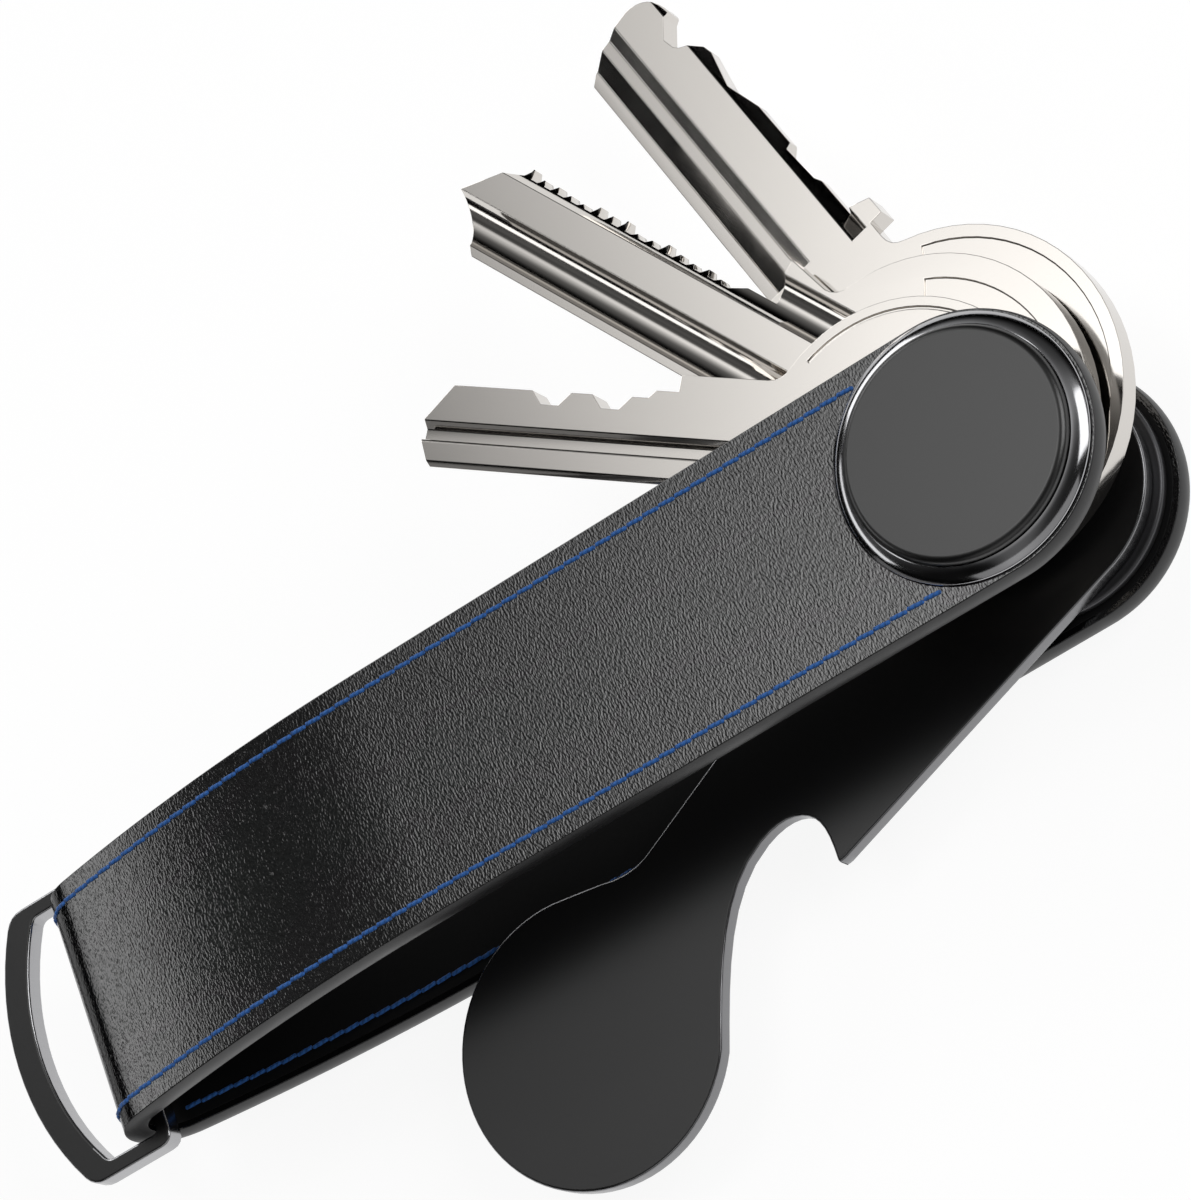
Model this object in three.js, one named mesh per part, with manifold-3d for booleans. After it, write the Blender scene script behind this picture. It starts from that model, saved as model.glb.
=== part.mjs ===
// Leather key case. A strap folded in two carries three keys and a bottle opener on a screw post,
// and a D-ring hangs in the fold. Millimetres, +Z up along the post, origin at the centre of the
// rear badge's outer face, and the fold and its ring towards -X.

import * as THREE from 'three';
import { mergeVertices } from 'three/addons/utils/BufferGeometryUtils.js';
import loadManifold from 'manifold-3d';

const wasm = await loadManifold();
wasm.setup();

// Fits
const SEAT_GAP = 0.05;
const STACK_GAP = 0.1;
const PIVOT_CLEARANCE = 0.08;
const HOLE_CLEARANCE = 0.2;
const BOND_GAP = 0.1;

// Strap
const STRAP_WIDTH = 21.6;
const LEATHER_THICKNESS = 1.1;
const LINING_THICKNESS = 0.8;
const STRAP_FLAT_REACH = 53;
const FOLD_REACH = 84.6;
const FOLD_RADIUS = 4.85;

// Edge stitching
const STITCH_MARGIN = 1.8;
const THREAD_WIDTH = 0.35;
const THREAD_HEIGHT = 0.2;
const THREAD_END_GAP = 0.6;

// Screw post
const BARREL_RADIUS = 2.5;
const SCREW_RADIUS = 1.5;
const FLANGE_RADIUS = 5;
const FLANGE_THICKNESS = 0.45;
const BARREL_CROWN = 1.5;
const BARREL_END_GAP = 0.6;
const SCREW_END_GAP = 1.2;

// Caps and their badges
const FRONT_CAP_RADIUS = 10.4;
const REAR_CAP_RADIUS = 9.6;
const CAP_WEB = 0.5;
const CAP_RIM_HEIGHT = 1.25;
const CAP_RIM_WIDTH = 1.2;
const CAP_RIM_FALL = 0.38;
const CAP_WALL_HEIGHT = 0.06;
const CAP_EDGE = 0.2;
const BADGE_FACE_HEIGHT = 1.7;
const BADGE_SHOULDER = 0.5;
const SPANNER_HOLE_RADIUS = 1;
const SPANNER_HOLE_DEPTH = 0.5;
const SPANNER_HOLE_REACH = 6.2;

// Stack on the post
const REAR_COLLAR_THICKNESS = 1;
const FRONT_COLLAR_THICKNESS = 0.55;
const COLLAR_RADIUS = 9.7;
const COLLAR_ROUNDING = 0.2;
const OPENER_THICKNESS = 1.5;
const SPACER_THICKNESS = 1.65;
const WASHER_THICKNESS = 0.5;
const WASHER_RADIUS = 4.6;
const KEY_THICKNESS = 2.3;

// D-ring
const RING_BAR_WIDTH = 1.2;
const RING_BAR_GAP = 0.1;
const RING_SIDE_GAP = 0.3;
const RING_ARM_WIDTH = 1.4;
const RING_BAND_WIDTH = 2.5;
const RING_THICKNESS = 1.8;
const RING_REACH = 11.25;
const RING_ARC_RADIUS = 23.5;
const RING_CORNER = 1.2;
const RING_INNER_CORNER = 0.5;

// Swing of each key and of the opener out of the case, in degrees
const LOWER_SWING = 34.9;
const MIDDLE_SWING = 57;
const UPPER_SWING = 75.5;
const OPENER_SWING = -22.3;

// Head of each key: its radius, and how far its centre lies from the post along and across the blade
const LOWER_HEAD_RADIUS = 12.4;
const LOWER_HEAD_REACH = 6.3;
const LOWER_HEAD_OFFSET = -0.3;
const MIDDLE_HEAD_RADIUS = 13.5;
const MIDDLE_HEAD_REACH = 7.1;
const MIDDLE_HEAD_OFFSET = 0.2;
const UPPER_HEAD_RADIUS = 14.3;
const UPPER_HEAD_REACH = 8.2;
const UPPER_HEAD_OFFSET = -0.1;
const HEAD_FILLET = 1.2;

// Marks pressed into the heads: a fine arc on the lower key, a sunk band on the other two.
// A span is in degrees from the blade.
const MARK_DEPTH = 0.2;
const LOWER_MARK_INSET = 0.8;
const LOWER_MARK_WIDTH = 0.22;
const LOWER_MARK_SPAN = [36, 144];
const MIDDLE_BAND_INSET = 1.95;
const MIDDLE_BAND_SPAN = [57, 160];
const UPPER_BAND_INSET = 1.05;
const UPPER_BAND_SPAN = [28, 152];
const BAND_WIDTH = 2.6;

// Lower key's blade
const LOWER_LENGTH = 49.2;
const LOWER_EDGE = 2.88;
const LOWER_BACK = -3.8;
const LOWER_SHOULDER = 4.85;
const LOWER_SHOULDER_REACH = 26.4;
const LOWER_STEP = 3.5;
const LOWER_STEP_LENGTH = 2;
const LOWER_CUTS = 2;
const LOWER_FIRST_CUT = 3.9;
const LOWER_CUT_SPACING = 5.55;
const LOWER_CUT_DEPTH = 1.08;
const LOWER_CUT_FLOOR = 1.6;
const LOWER_CUT_FLANK = 1;
const LOWER_TIP_RUN = 2.2;
const LOWER_GROOVE_EDGE = -0.12;
const LOWER_GROOVE_BACK = -1.65;
const LOWER_GROOVE_SLOPE = 0.62;
const LOWER_GROOVE_DEPTH = 0.65;
const LOWER_GROOVE_CHAMFER = 0.2;
const LOWER_BACK_CHAMFER = 0.42;
const LOWER_BACK_LEAN = 0.42;

// Middle key's blade
const MIDDLE_LENGTH = 55.9;
const MIDDLE_STRIP_EDGE = 1.55;
const MIDDLE_STRIP_BACK = -1.25;
const MIDDLE_BACK = -5.57;
const MIDDLE_BLADE_EDGE = 2.9;
const MIDDLE_NECK = 5.6;
const MIDDLE_SHOULDER = 6.4;
const MIDDLE_SHOULDER_REACH = 24.6;
const MIDDLE_SHOULDER_RUN = 3;
const MIDDLE_TIP_RUN = 2.9;
const MIDDLE_BACK_RUN = 4.3;
const MIDDLE_FLUTE_WIDTH = 3.6;
const MIDDLE_FLUTE_DEPTH = 1.1;
const MIDDLE_TEETH_GAP = 1.4;
const MIDDLE_TEETH_END_GAP = 1.2;
const MIDDLE_TEETH_ROOT = 2.2;
const MIDDLE_TEETH_CRESTS = [2.5, 2.75, 2.55, 2.7, 2.95, 2.6, 2.5, 3, 2.8, 2.95, 2.5, 2.6, 2.75, 2.65, 3];
const MIDDLE_TOOTH_PITCH = 1.5;
const MIDDLE_TOOTH_FLAT = 0.65;
const MIDDLE_TOOTH_CREST = 1.05;

// Upper key's blade
const UPPER_LENGTH = 55.2;
const UPPER_FACE_EDGE = 2.3;
const UPPER_FACE_BACK = -1.33;
const UPPER_BACK = -6.1;
const UPPER_TIP_RADIUS = 2.6;
const UPPER_TIP_SLANT = 1.6;
const UPPER_STOP = 5.5;
const UPPER_STOP_LENGTH = 2.6;
const UPPER_SHOULDER = 4.3;
const UPPER_NECK_LENGTH = 1.6;
const UPPER_LEDGE_DEPTH = 1.16;
const UPPER_LEDGE_WIDTH = 1.1;
const UPPER_LEDGE_RISE = 0.4;
const UPPER_HOOK_RISE = 0.5;
const UPPER_CHANNEL_RUN_OUT = 1.2;
const UPPER_STEP_PROFILE = [[-2.45, 0.6], [-3.42, 0.6], [-5.05, 1.89]];

// Its cut edge: the hook as [back from the tip, across], the bitting as [share of the way to the stop, across]
const UPPER_HOOK = [[2.75, 2.72], [3.05, 2.26], [4.65, 1.1], [5.75, 1.3], [6.15, 1.6], [6.6, 2.28]];
const UPPER_BITTING = [
  [0.03, 3.1], [0.07, 3.27], [0.25, 2.63], [0.39, 3.37], [0.6, 3.4], [0.655, 2.33], [0.73, 2.38], [0.815, 3.37],
];

// Opener: a tapered shank, a hook and a round token end
const OPENER_HEAD_RADIUS = 9;
const OPENER_NECK_HALF_WIDTH = 6.5;
const OPENER_NECK_SWEEP = 4.1;
const OPENER_NECK_RISE = 1.6;
const TOKEN_RADIUS = 11.7;
const TOKEN_REACH = 54.65;
const TOKEN_SPAN = [122, -127];
const TOKEN_NECK_SET_BACK = 13.35;
const NOTCH_CROWN = -0.7;
const NOTCH_CROWN_RUN = 3.1;
const NOTCH_FLANK_PULL = 5;
const NOTCH_THROAT_PULL = 2.9;
const TOKEN_FLANK_PULL = 4.5;
const THROAT_SET_BACK = 1.15;
const THROAT_DEPTH = 2.8;
const THROAT_PULL = 1.5;
const LIP_PULL = 1.2;
const HOOK_REACH = 30.9;
const HOOK_LENGTH = 6.85;

// Facets on a full turn, and steps along shorter curves
const WIDE_FACETS = 40;
const SLIM_FACETS = 24;
const HEAD_FACETS = 56;
const BEND_STEPS = 8;
const FOLD_STEPS = 8;
const BLEND_STEPS = 4;
const BAND_STEPS = 24;
const FLUTE_STEPS = 12;

// Heights along the post, from the rear badge's face upwards
const WALL = LEATHER_THICKNESS + BOND_GAP + LINING_THICKNESS;
const REAR_FACE_Z = BADGE_FACE_HEIGHT;
const STACK = [
  { name: 'rear_collar', thickness: REAR_COLLAR_THICKNESS, gap: SEAT_GAP },
  { name: 'bottle_opener', thickness: OPENER_THICKNESS, gap: STACK_GAP },
  { name: 'opener_spacer', thickness: SPACER_THICKNESS, gap: STACK_GAP },
  { name: 'key_upper', thickness: KEY_THICKNESS, gap: STACK_GAP },
  { name: 'upper_washer', thickness: WASHER_THICKNESS, gap: STACK_GAP },
  { name: 'key_middle', thickness: KEY_THICKNESS, gap: STACK_GAP },
  { name: 'lower_washer', thickness: WASHER_THICKNESS, gap: STACK_GAP },
  { name: 'key_lower', thickness: KEY_THICKNESS, gap: STACK_GAP },
  { name: 'front_collar', thickness: FRONT_COLLAR_THICKNESS, gap: STACK_GAP },
];
const stackZ = {};
let height = REAR_FACE_Z + WALL;
for (const { name, thickness, gap } of STACK) {
  stackZ[name] = height + gap;
  height += gap + thickness;
}
const FRONT_FACE_Z = height + SEAT_GAP + WALL;
const MID_Z = (REAR_FACE_Z + FRONT_FACE_Z) / 2;
const HALF_HEIGHT = (FRONT_FACE_Z - REAR_FACE_Z) / 2;

// The strap closes on its fold along one long bend, tangent to the flat and to the fold
const BEND_ANGLE = 2 * Math.atan((HALF_HEIGHT - FOLD_RADIUS) / (FOLD_REACH - STRAP_FLAT_REACH));
const BEND_RADIUS = FOLD_RADIUS + (FOLD_REACH - STRAP_FLAT_REACH) / Math.sin(BEND_ANGLE);

// The ring's bar turns on its own middle, as near the end of the fold as its corners clear
const RING_BAR_SWEEP = Math.hypot(RING_BAR_WIDTH, RING_THICKNESS) / 2;
const RING_AXIS_X = -(FOLD_REACH + FOLD_RADIUS - WALL - RING_BAR_SWEEP - RING_BAR_GAP);

// Room that a cutting tool reaches past what it cuts
const OVERCUT = 2;

// Solids from geometry, and back

function solidFrom(geometry) {
  geometry.deleteAttribute('normal');
  geometry.deleteAttribute('uv');
  const merged = mergeVertices(geometry, 1e-5);
  const corners = merged.index.array;
  const triVerts = [];
  for (let i = 0; i < corners.length; i += 3) {
    const [a, b, c] = [corners[i], corners[i + 1], corners[i + 2]];
    if (a !== b && b !== c && c !== a) triVerts.push(a, b, c);
  }
  const vertProperties = new Float32Array(merged.attributes.position.array);
  return new wasm.Manifold(new wasm.Mesh({ numProp: 3, vertProperties, triVerts: new Uint32Array(triVerts) }));
}

function geometryFrom(solid) {
  const { vertProperties, triVerts } = solid.getMesh();
  const geometry = new THREE.BufferGeometry();
  geometry.setAttribute('position', new THREE.BufferAttribute(new Float32Array(vertProperties), 3));
  geometry.setIndex(new THREE.BufferAttribute(new Uint32Array(triVerts), 1));
  return geometry;
}

// A flat outline given a thickness upwards from z
function plate(points, z, thickness) {
  const shape = new THREE.Shape(points.map(([x, y]) => new THREE.Vector2(x, y)));
  const geometry = new THREE.ExtrudeGeometry(shape, { depth: thickness, bevelEnabled: false });
  return solidFrom(geometry.translate(0, 0, z));
}

// A profile of [radius, height] turned about the post
function turned(profile, facets) {
  const points = profile.map(([radius, z]) => new THREE.Vector2(radius, z));
  return solidFrom(new THREE.LatheGeometry(points, facets).rotateX(Math.PI / 2));
}

function ring(inner, outer, z0, z1, facets) {
  return turned([[inner, z0], [outer, z0], [outer, z1], [inner, z1], [inner, z0]], facets);
}

function rod(radius, z0, z1, facets) {
  return turned([[0, z0], [radius, z0], [radius, z1], [0, z1]], facets);
}

// A section of [y, z] drawn out along X
function bar(section, x0, x1) {
  const shape = new THREE.Shape(section.map(([y, z]) => new THREE.Vector2(y, z)));
  const geometry = new THREE.ExtrudeGeometry(shape, { depth: x1 - x0, bevelEnabled: false });
  const axes = new THREE.Matrix4().makeBasis(
    new THREE.Vector3(0, 1, 0), new THREE.Vector3(0, 0, 1), new THREE.Vector3(1, 0, 0));
  return solidFrom(geometry.applyMatrix4(axes).translate(x0, 0, 0));
}

function arc(centreX, centreY, radius, from, to, steps) {
  const points = [];
  for (let i = 0; i <= steps; i += 1) {
    const angle = from + ((to - from) * i) / steps;
    points.push([centreX + radius * Math.cos(angle), centreY + radius * Math.sin(angle)]);
  }
  return points;
}

function curve(control, steps) {
  const points = control.map(([x, y]) => new THREE.Vector2(x, y));
  const path = points.length === 3 ? new THREE.QuadraticBezierCurve(...points) : new THREE.CubicBezierCurve(...points);
  return path.getPoints(steps).map(({ x, y }) => [x, y]);
}

// Strap

// One side of the strap, seen along Y, at a depth below its outer face
function rail(depth, startX) {
  const half = HALF_HEIGHT - depth;
  const upper = [[startX, half]];
  for (let i = 0; i <= BEND_STEPS; i += 1) {
    const angle = (BEND_ANGLE * i) / BEND_STEPS;
    const radius = BEND_RADIUS - depth;
    upper.push([
      -STRAP_FLAT_REACH - radius * Math.sin(angle),
      HALF_HEIGHT - BEND_RADIUS + radius * Math.cos(angle),
    ]);
  }
  const fold = arc(-FOLD_REACH, 0, FOLD_RADIUS - depth, Math.PI / 2 + BEND_ANGLE, Math.PI, FOLD_STEPS);
  upper.push(...fold.slice(1, -1));
  const lower = upper.map(([x, z]) => [x, -z]).reverse();
  return [...upper, fold.at(-1), ...lower].map(([x, z]) => [x, z + MID_Z]);
}

// A strip that follows the strap between two depths, as wide as given and centred on y
function strip(outerDepth, innerDepth, startX, width, y) {
  const outline = [...rail(outerDepth, startX), ...rail(innerDepth, startX).reverse()];
  const shape = new THREE.Shape(outline.map(([x, z]) => new THREE.Vector2(x, z)));
  const geometry = new THREE.ExtrudeGeometry(shape, { depth: width, bevelEnabled: false });
  return solidFrom(geometry.rotateX(Math.PI / 2).translate(0, y + width / 2, 0));
}

// A layer of the strap, cut to its round ends and punched for the post
function strapLayer(outerDepth, innerDepth) {
  const half = STRAP_WIDTH / 2;
  const far = -(FOLD_REACH + FOLD_RADIUS + OVERCUT);
  const plan = [[far, half], [far, -half], ...arc(0, 0, half, -Math.PI / 2, Math.PI / 2, WIDE_FACETS / 2)];
  const depth = FRONT_FACE_Z - REAR_FACE_Z + 2 * OVERCUT;
  const blank = strip(outerDepth, innerDepth, half + OVERCUT, STRAP_WIDTH + 2 * OVERCUT, 0);
  const hole = rod(
    BARREL_RADIUS + HOLE_CLEARANCE, REAR_FACE_Z - OVERCUT, FRONT_FACE_Z + OVERCUT, SLIM_FACETS);
  return blank.intersect(plate(plan, REAR_FACE_Z - OVERCUT, depth)).subtract(hole);
}

function stitchRow(side) {
  const y = side * (STRAP_WIDTH / 2 - STITCH_MARGIN);
  const edge = Math.abs(y) - THREAD_WIDTH / 2;
  const startX = -Math.sqrt(Math.max(FRONT_CAP_RADIUS ** 2 - edge ** 2, 0)) - THREAD_END_GAP;
  return strip(-SEAT_GAP - THREAD_HEIGHT, -SEAT_GAP, startX, THREAD_WIDTH, y);
}

// Post and caps, drawn with the leather at z = 0 and the badge upwards

const FLANGE_Z = CAP_WEB + SEAT_GAP;
const POCKET_Z = FLANGE_Z + FLANGE_THICKNESS + SEAT_GAP;

function capBody(radius) {
  const seat = radius - CAP_RIM_WIDTH;
  const bore = BARREL_RADIUS + HOLE_CLEARANCE;
  const wallTop = SEAT_GAP + CAP_EDGE + CAP_WALL_HEIGHT;
  const rim = curve([
    [radius, wallTop], [radius - CAP_EDGE, CAP_RIM_HEIGHT - CAP_RIM_FALL], [seat, CAP_RIM_HEIGHT],
  ], BLEND_STEPS);
  return turned([
    [bore, SEAT_GAP], [radius - CAP_EDGE, SEAT_GAP], [radius, SEAT_GAP + CAP_EDGE], ...rim,
    [seat, CAP_WEB], [bore, CAP_WEB], [bore, SEAT_GAP],
  ], WIDE_FACETS);
}

function badge(capRadius) {
  const outer = capRadius - CAP_RIM_WIDTH - PIVOT_CLEARANCE;
  const pocket = FLANGE_RADIUS + HOLE_CLEARANCE;
  const shoulder = curve([
    [outer, BADGE_FACE_HEIGHT - BADGE_SHOULDER],
    [outer, BADGE_FACE_HEIGHT],
    [outer - BADGE_SHOULDER, BADGE_FACE_HEIGHT],
  ], BLEND_STEPS);
  return turned([
    [0, POCKET_Z], [pocket, POCKET_Z], [pocket, CAP_WEB + SEAT_GAP], [outer, CAP_WEB + SEAT_GAP],
    ...shoulder, [0, BADGE_FACE_HEIGHT],
  ], WIDE_FACETS);
}

// The two blind holes that a pin spanner turns the rear badge by
function spannerBadge() {
  let solid = badge(REAR_CAP_RADIUS);
  const floor = BADGE_FACE_HEIGHT - SPANNER_HOLE_DEPTH;
  for (const side of [-1, 1]) {
    const hole = rod(SPANNER_HOLE_RADIUS, floor, BADGE_FACE_HEIGHT + OVERCUT, SLIM_FACETS / 2);
    solid = solid.subtract(hole.translate(side * SPANNER_HOLE_REACH, 0, 0));
  }
  return solid;
}

const POST_LENGTH = FRONT_FACE_Z - REAR_FACE_Z;

// Flanged tube under the front cap, open at its lower end for the screw
function barrel() {
  const bore = SCREW_RADIUS + PIVOT_CLEARANCE;
  const end = -(POST_LENGTH - BARREL_END_GAP);
  return turned([
    [bore, end], [BARREL_RADIUS, end], [BARREL_RADIUS, FLANGE_Z], [FLANGE_RADIUS, FLANGE_Z],
    [FLANGE_RADIUS, FLANGE_Z + FLANGE_THICKNESS], [0, FLANGE_Z + FLANGE_THICKNESS],
    [0, -BARREL_CROWN], [bore, -BARREL_CROWN], [bore, end],
  ], SLIM_FACETS);
}

// Flanged screw under the rear cap
function screw() {
  const end = -(POST_LENGTH - BARREL_CROWN - SCREW_END_GAP);
  return turned([
    [0, end], [SCREW_RADIUS, end], [SCREW_RADIUS, FLANGE_Z], [FLANGE_RADIUS, FLANGE_Z],
    [FLANGE_RADIUS, FLANGE_Z + FLANGE_THICKNESS], [0, FLANGE_Z + FLANGE_THICKNESS],
  ], SLIM_FACETS);
}

function collar(thickness) {
  const bore = BARREL_RADIUS + HOLE_CLEARANCE;
  const flat = COLLAR_RADIUS - COLLAR_ROUNDING;
  return turned([
    [bore, 0], [flat, 0], [COLLAR_RADIUS, COLLAR_ROUNDING], [COLLAR_RADIUS, thickness - COLLAR_ROUNDING],
    [flat, thickness], [bore, thickness], [bore, 0],
  ], WIDE_FACETS);
}

function washer(thickness) {
  return ring(BARREL_RADIUS + HOLE_CLEARANCE, WASHER_RADIUS, 0, thickness, SLIM_FACETS);
}

// Keys, drawn folded into the case: the blade runs to -X, its cut edge faces +Y, its front is up.
// Points are [reach, across]: along the blade from the post, and towards the cut edge.

const place = ([reach, across]) => [-reach, across];

// Outline of a key: round the back of the head, out along the cut edge and back along the other
function keyOutline(head, edge, back) {
  const blend = (across, side) => {
    const lean = Math.asin((across - head.offset) / head.radius);
    const corner = [head.reach + head.radius * Math.cos(lean), across];
    const onHead = lean + (side * HEAD_FILLET) / head.radius;
    const start = [
      head.reach + head.radius * Math.cos(onHead),
      head.offset + head.radius * Math.sin(onHead),
    ];
    return { onHead, fillet: curve([start, corner, [corner[0] + HEAD_FILLET, across]], BLEND_STEPS) };
  };
  const upper = blend(edge[0][1], 1);
  const lower = blend(back.at(-1)[1], -1);
  const around = arc(
    head.reach, head.offset, head.radius, lower.onHead + 2 * Math.PI, upper.onHead, HEAD_FACETS);
  return [...around, ...upper.fillet.slice(1), ...edge, ...back, ...lower.fillet.reverse().slice(0, -1)];
}

function keyBlank(head, edge, back) {
  const hole = rod(BARREL_RADIUS + PIVOT_CLEARANCE, -OVERCUT, KEY_THICKNESS + OVERCUT, SLIM_FACETS);
  return plate(keyOutline(head, edge, back).map(place), 0, KEY_THICKNESS).subtract(hole);
}

// A cut along the blade: its section is [across, depth below the front face]
function milled(section, fromReach, toReach) {
  return bar(section.map(([across, depth]) => [across, KEY_THICKNESS - depth]), -toReach, -fromReach);
}

// A shallow band pressed into the front of a head, between two angles from the blade
function headBand(head, inset, width, span) {
  const [from, to] = span.map(THREE.MathUtils.degToRad);
  const outer = arc(head.reach, head.offset, head.radius - inset, from, to, BAND_STEPS);
  const inner = arc(head.reach, head.offset, head.radius - inset - width, to, from, BAND_STEPS);
  return plate([...outer, ...inner].map(place), KEY_THICKNESS - MARK_DEPTH, MARK_DEPTH + OVERCUT);
}

function lowerKey() {
  const head = { reach: LOWER_HEAD_REACH, offset: LOWER_HEAD_OFFSET, radius: LOWER_HEAD_RADIUS };
  const tipStart = LOWER_LENGTH - LOWER_TIP_RUN;
  const stepEnd = LOWER_SHOULDER_REACH + LOWER_STEP_LENGTH;
  const floor = LOWER_CUT_FLOOR / 2;
  const top = floor + LOWER_CUT_FLANK;
  const bottom = LOWER_EDGE - LOWER_CUT_DEPTH;
  const cuts = [];
  for (let i = 0; i < LOWER_CUTS; i += 1) {
    const reach = stepEnd + LOWER_FIRST_CUT + i * LOWER_CUT_SPACING;
    cuts.push([reach - top, LOWER_EDGE], [reach - floor, bottom], [reach + floor, bottom], [reach + top, LOWER_EDGE]);
  }
  const edge = [
    [LOWER_SHOULDER_REACH, LOWER_SHOULDER], [LOWER_SHOULDER_REACH, LOWER_STEP], [stepEnd, LOWER_STEP],
    [stepEnd + LOWER_STEP - LOWER_EDGE, LOWER_EDGE], ...cuts, [tipStart, LOWER_EDGE],
  ];
  const back = [
    [LOWER_LENGTH, 0], [LOWER_LENGTH, LOWER_GROOVE_BACK], [tipStart + LOWER_TIP_RUN / 2, LOWER_BACK],
    [LOWER_SHOULDER_REACH, LOWER_BACK],
  ];
  const groove = milled([
    [LOWER_GROOVE_EDGE, 0], [LOWER_GROOVE_EDGE - LOWER_GROOVE_SLOPE, LOWER_GROOVE_DEPTH],
    [LOWER_GROOVE_BACK, LOWER_GROOVE_DEPTH], [LOWER_GROOVE_BACK, LOWER_GROOVE_CHAMFER / 2],
    [LOWER_GROOVE_BACK - LOWER_GROOVE_CHAMFER, 0], [LOWER_GROOVE_BACK - LOWER_GROOVE_CHAMFER, -OVERCUT],
    [LOWER_GROOVE_EDGE, -OVERCUT],
  ], LOWER_HEAD_RADIUS, LOWER_LENGTH + OVERCUT);
  const bladeStart = head.reach + Math.sqrt(head.radius ** 2 - (LOWER_BACK - head.offset) ** 2) + HEAD_FILLET;
  const chamfer = milled([
    [LOWER_BACK + LOWER_BACK_CHAMFER, 0], [LOWER_BACK, LOWER_BACK_CHAMFER],
    [LOWER_BACK + LOWER_BACK_LEAN, KEY_THICKNESS], [LOWER_BACK + LOWER_BACK_LEAN, KEY_THICKNESS + OVERCUT],
    [LOWER_BACK - OVERCUT, KEY_THICKNESS + OVERCUT], [LOWER_BACK - OVERCUT, -OVERCUT],
    [LOWER_BACK + LOWER_BACK_CHAMFER, -OVERCUT],
  ], bladeStart, LOWER_LENGTH + OVERCUT);
  const mark = headBand(head, LOWER_MARK_INSET, LOWER_MARK_WIDTH, LOWER_MARK_SPAN);
  return keyBlank(head, edge, back).subtract(groove).subtract(chamfer).subtract(mark);
}

// A round-bottomed flute that starts at one line of the blade and opens towards the given side
function flute(startAcross, side, fromReach, toReach) {
  const half = MIDDLE_FLUTE_WIDTH / 2;
  const radius = (half ** 2 + MIDDLE_FLUTE_DEPTH ** 2) / (2 * MIDDLE_FLUTE_DEPTH);
  const sweep = Math.asin(half / radius);
  const bottom = arc(startAcross + side * half, MIDDLE_FLUTE_DEPTH - radius, radius,
    Math.PI / 2 - sweep, Math.PI / 2 + sweep, FLUTE_STEPS);
  const rim = startAcross + side * half;
  return milled([...bottom, [rim - half, -OVERCUT], [rim + half, -OVERCUT]], fromReach, toReach);
}

function middleKey() {
  const head = { reach: MIDDLE_HEAD_REACH, offset: MIDDLE_HEAD_OFFSET, radius: MIDDLE_HEAD_RADIUS };
  const neckStart = head.reach + Math.sqrt(head.radius ** 2 - (MIDDLE_NECK - head.offset) ** 2) + HEAD_FILLET;
  const bladeStart = MIDDLE_SHOULDER_REACH + MIDDLE_SHOULDER_RUN;
  const teethStart = bladeStart + MIDDLE_TEETH_GAP;
  const tipStart = MIDDLE_LENGTH - MIDDLE_TIP_RUN;
  const toothCount = Math.floor((tipStart - MIDDLE_TEETH_END_GAP - teethStart) / MIDDLE_TOOTH_PITCH);
  const teeth = [];
  for (let i = 0; i < toothCount; i += 1) {
    const reach = teethStart + i * MIDDLE_TOOTH_PITCH;
    const crest = MIDDLE_TEETH_CRESTS[i % MIDDLE_TEETH_CRESTS.length];
    teeth.push(
      [reach, MIDDLE_TEETH_ROOT], [reach + MIDDLE_TOOTH_FLAT, MIDDLE_TEETH_ROOT], [reach + MIDDLE_TOOTH_CREST, crest]);
  }
  const edge = [
    [neckStart, MIDDLE_NECK], [MIDDLE_SHOULDER_REACH, MIDDLE_SHOULDER],
    [MIDDLE_SHOULDER_REACH, MIDDLE_BLADE_EDGE], [bladeStart, MIDDLE_BLADE_EDGE], ...teeth,
    [teethStart + toothCount * MIDDLE_TOOTH_PITCH, MIDDLE_TEETH_ROOT],
  ];
  const back = [
    [tipStart, MIDDLE_STRIP_EDGE], [MIDDLE_LENGTH, MIDDLE_STRIP_BACK],
    [MIDDLE_LENGTH - MIDDLE_BACK_RUN, MIDDLE_BACK], [bladeStart, MIDDLE_BACK],
  ];
  const backFlute = flute(MIDDLE_STRIP_BACK, -1, MIDDLE_HEAD_RADIUS, MIDDLE_LENGTH + OVERCUT);
  const edgeFlute = flute(MIDDLE_STRIP_EDGE, 1, MIDDLE_HEAD_RADIUS, MIDDLE_LENGTH + OVERCUT);
  const band = headBand(head, MIDDLE_BAND_INSET, BAND_WIDTH, MIDDLE_BAND_SPAN);
  return keyBlank(head, edge, back).subtract(backFlute).subtract(edgeFlute).subtract(band);
}

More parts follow.
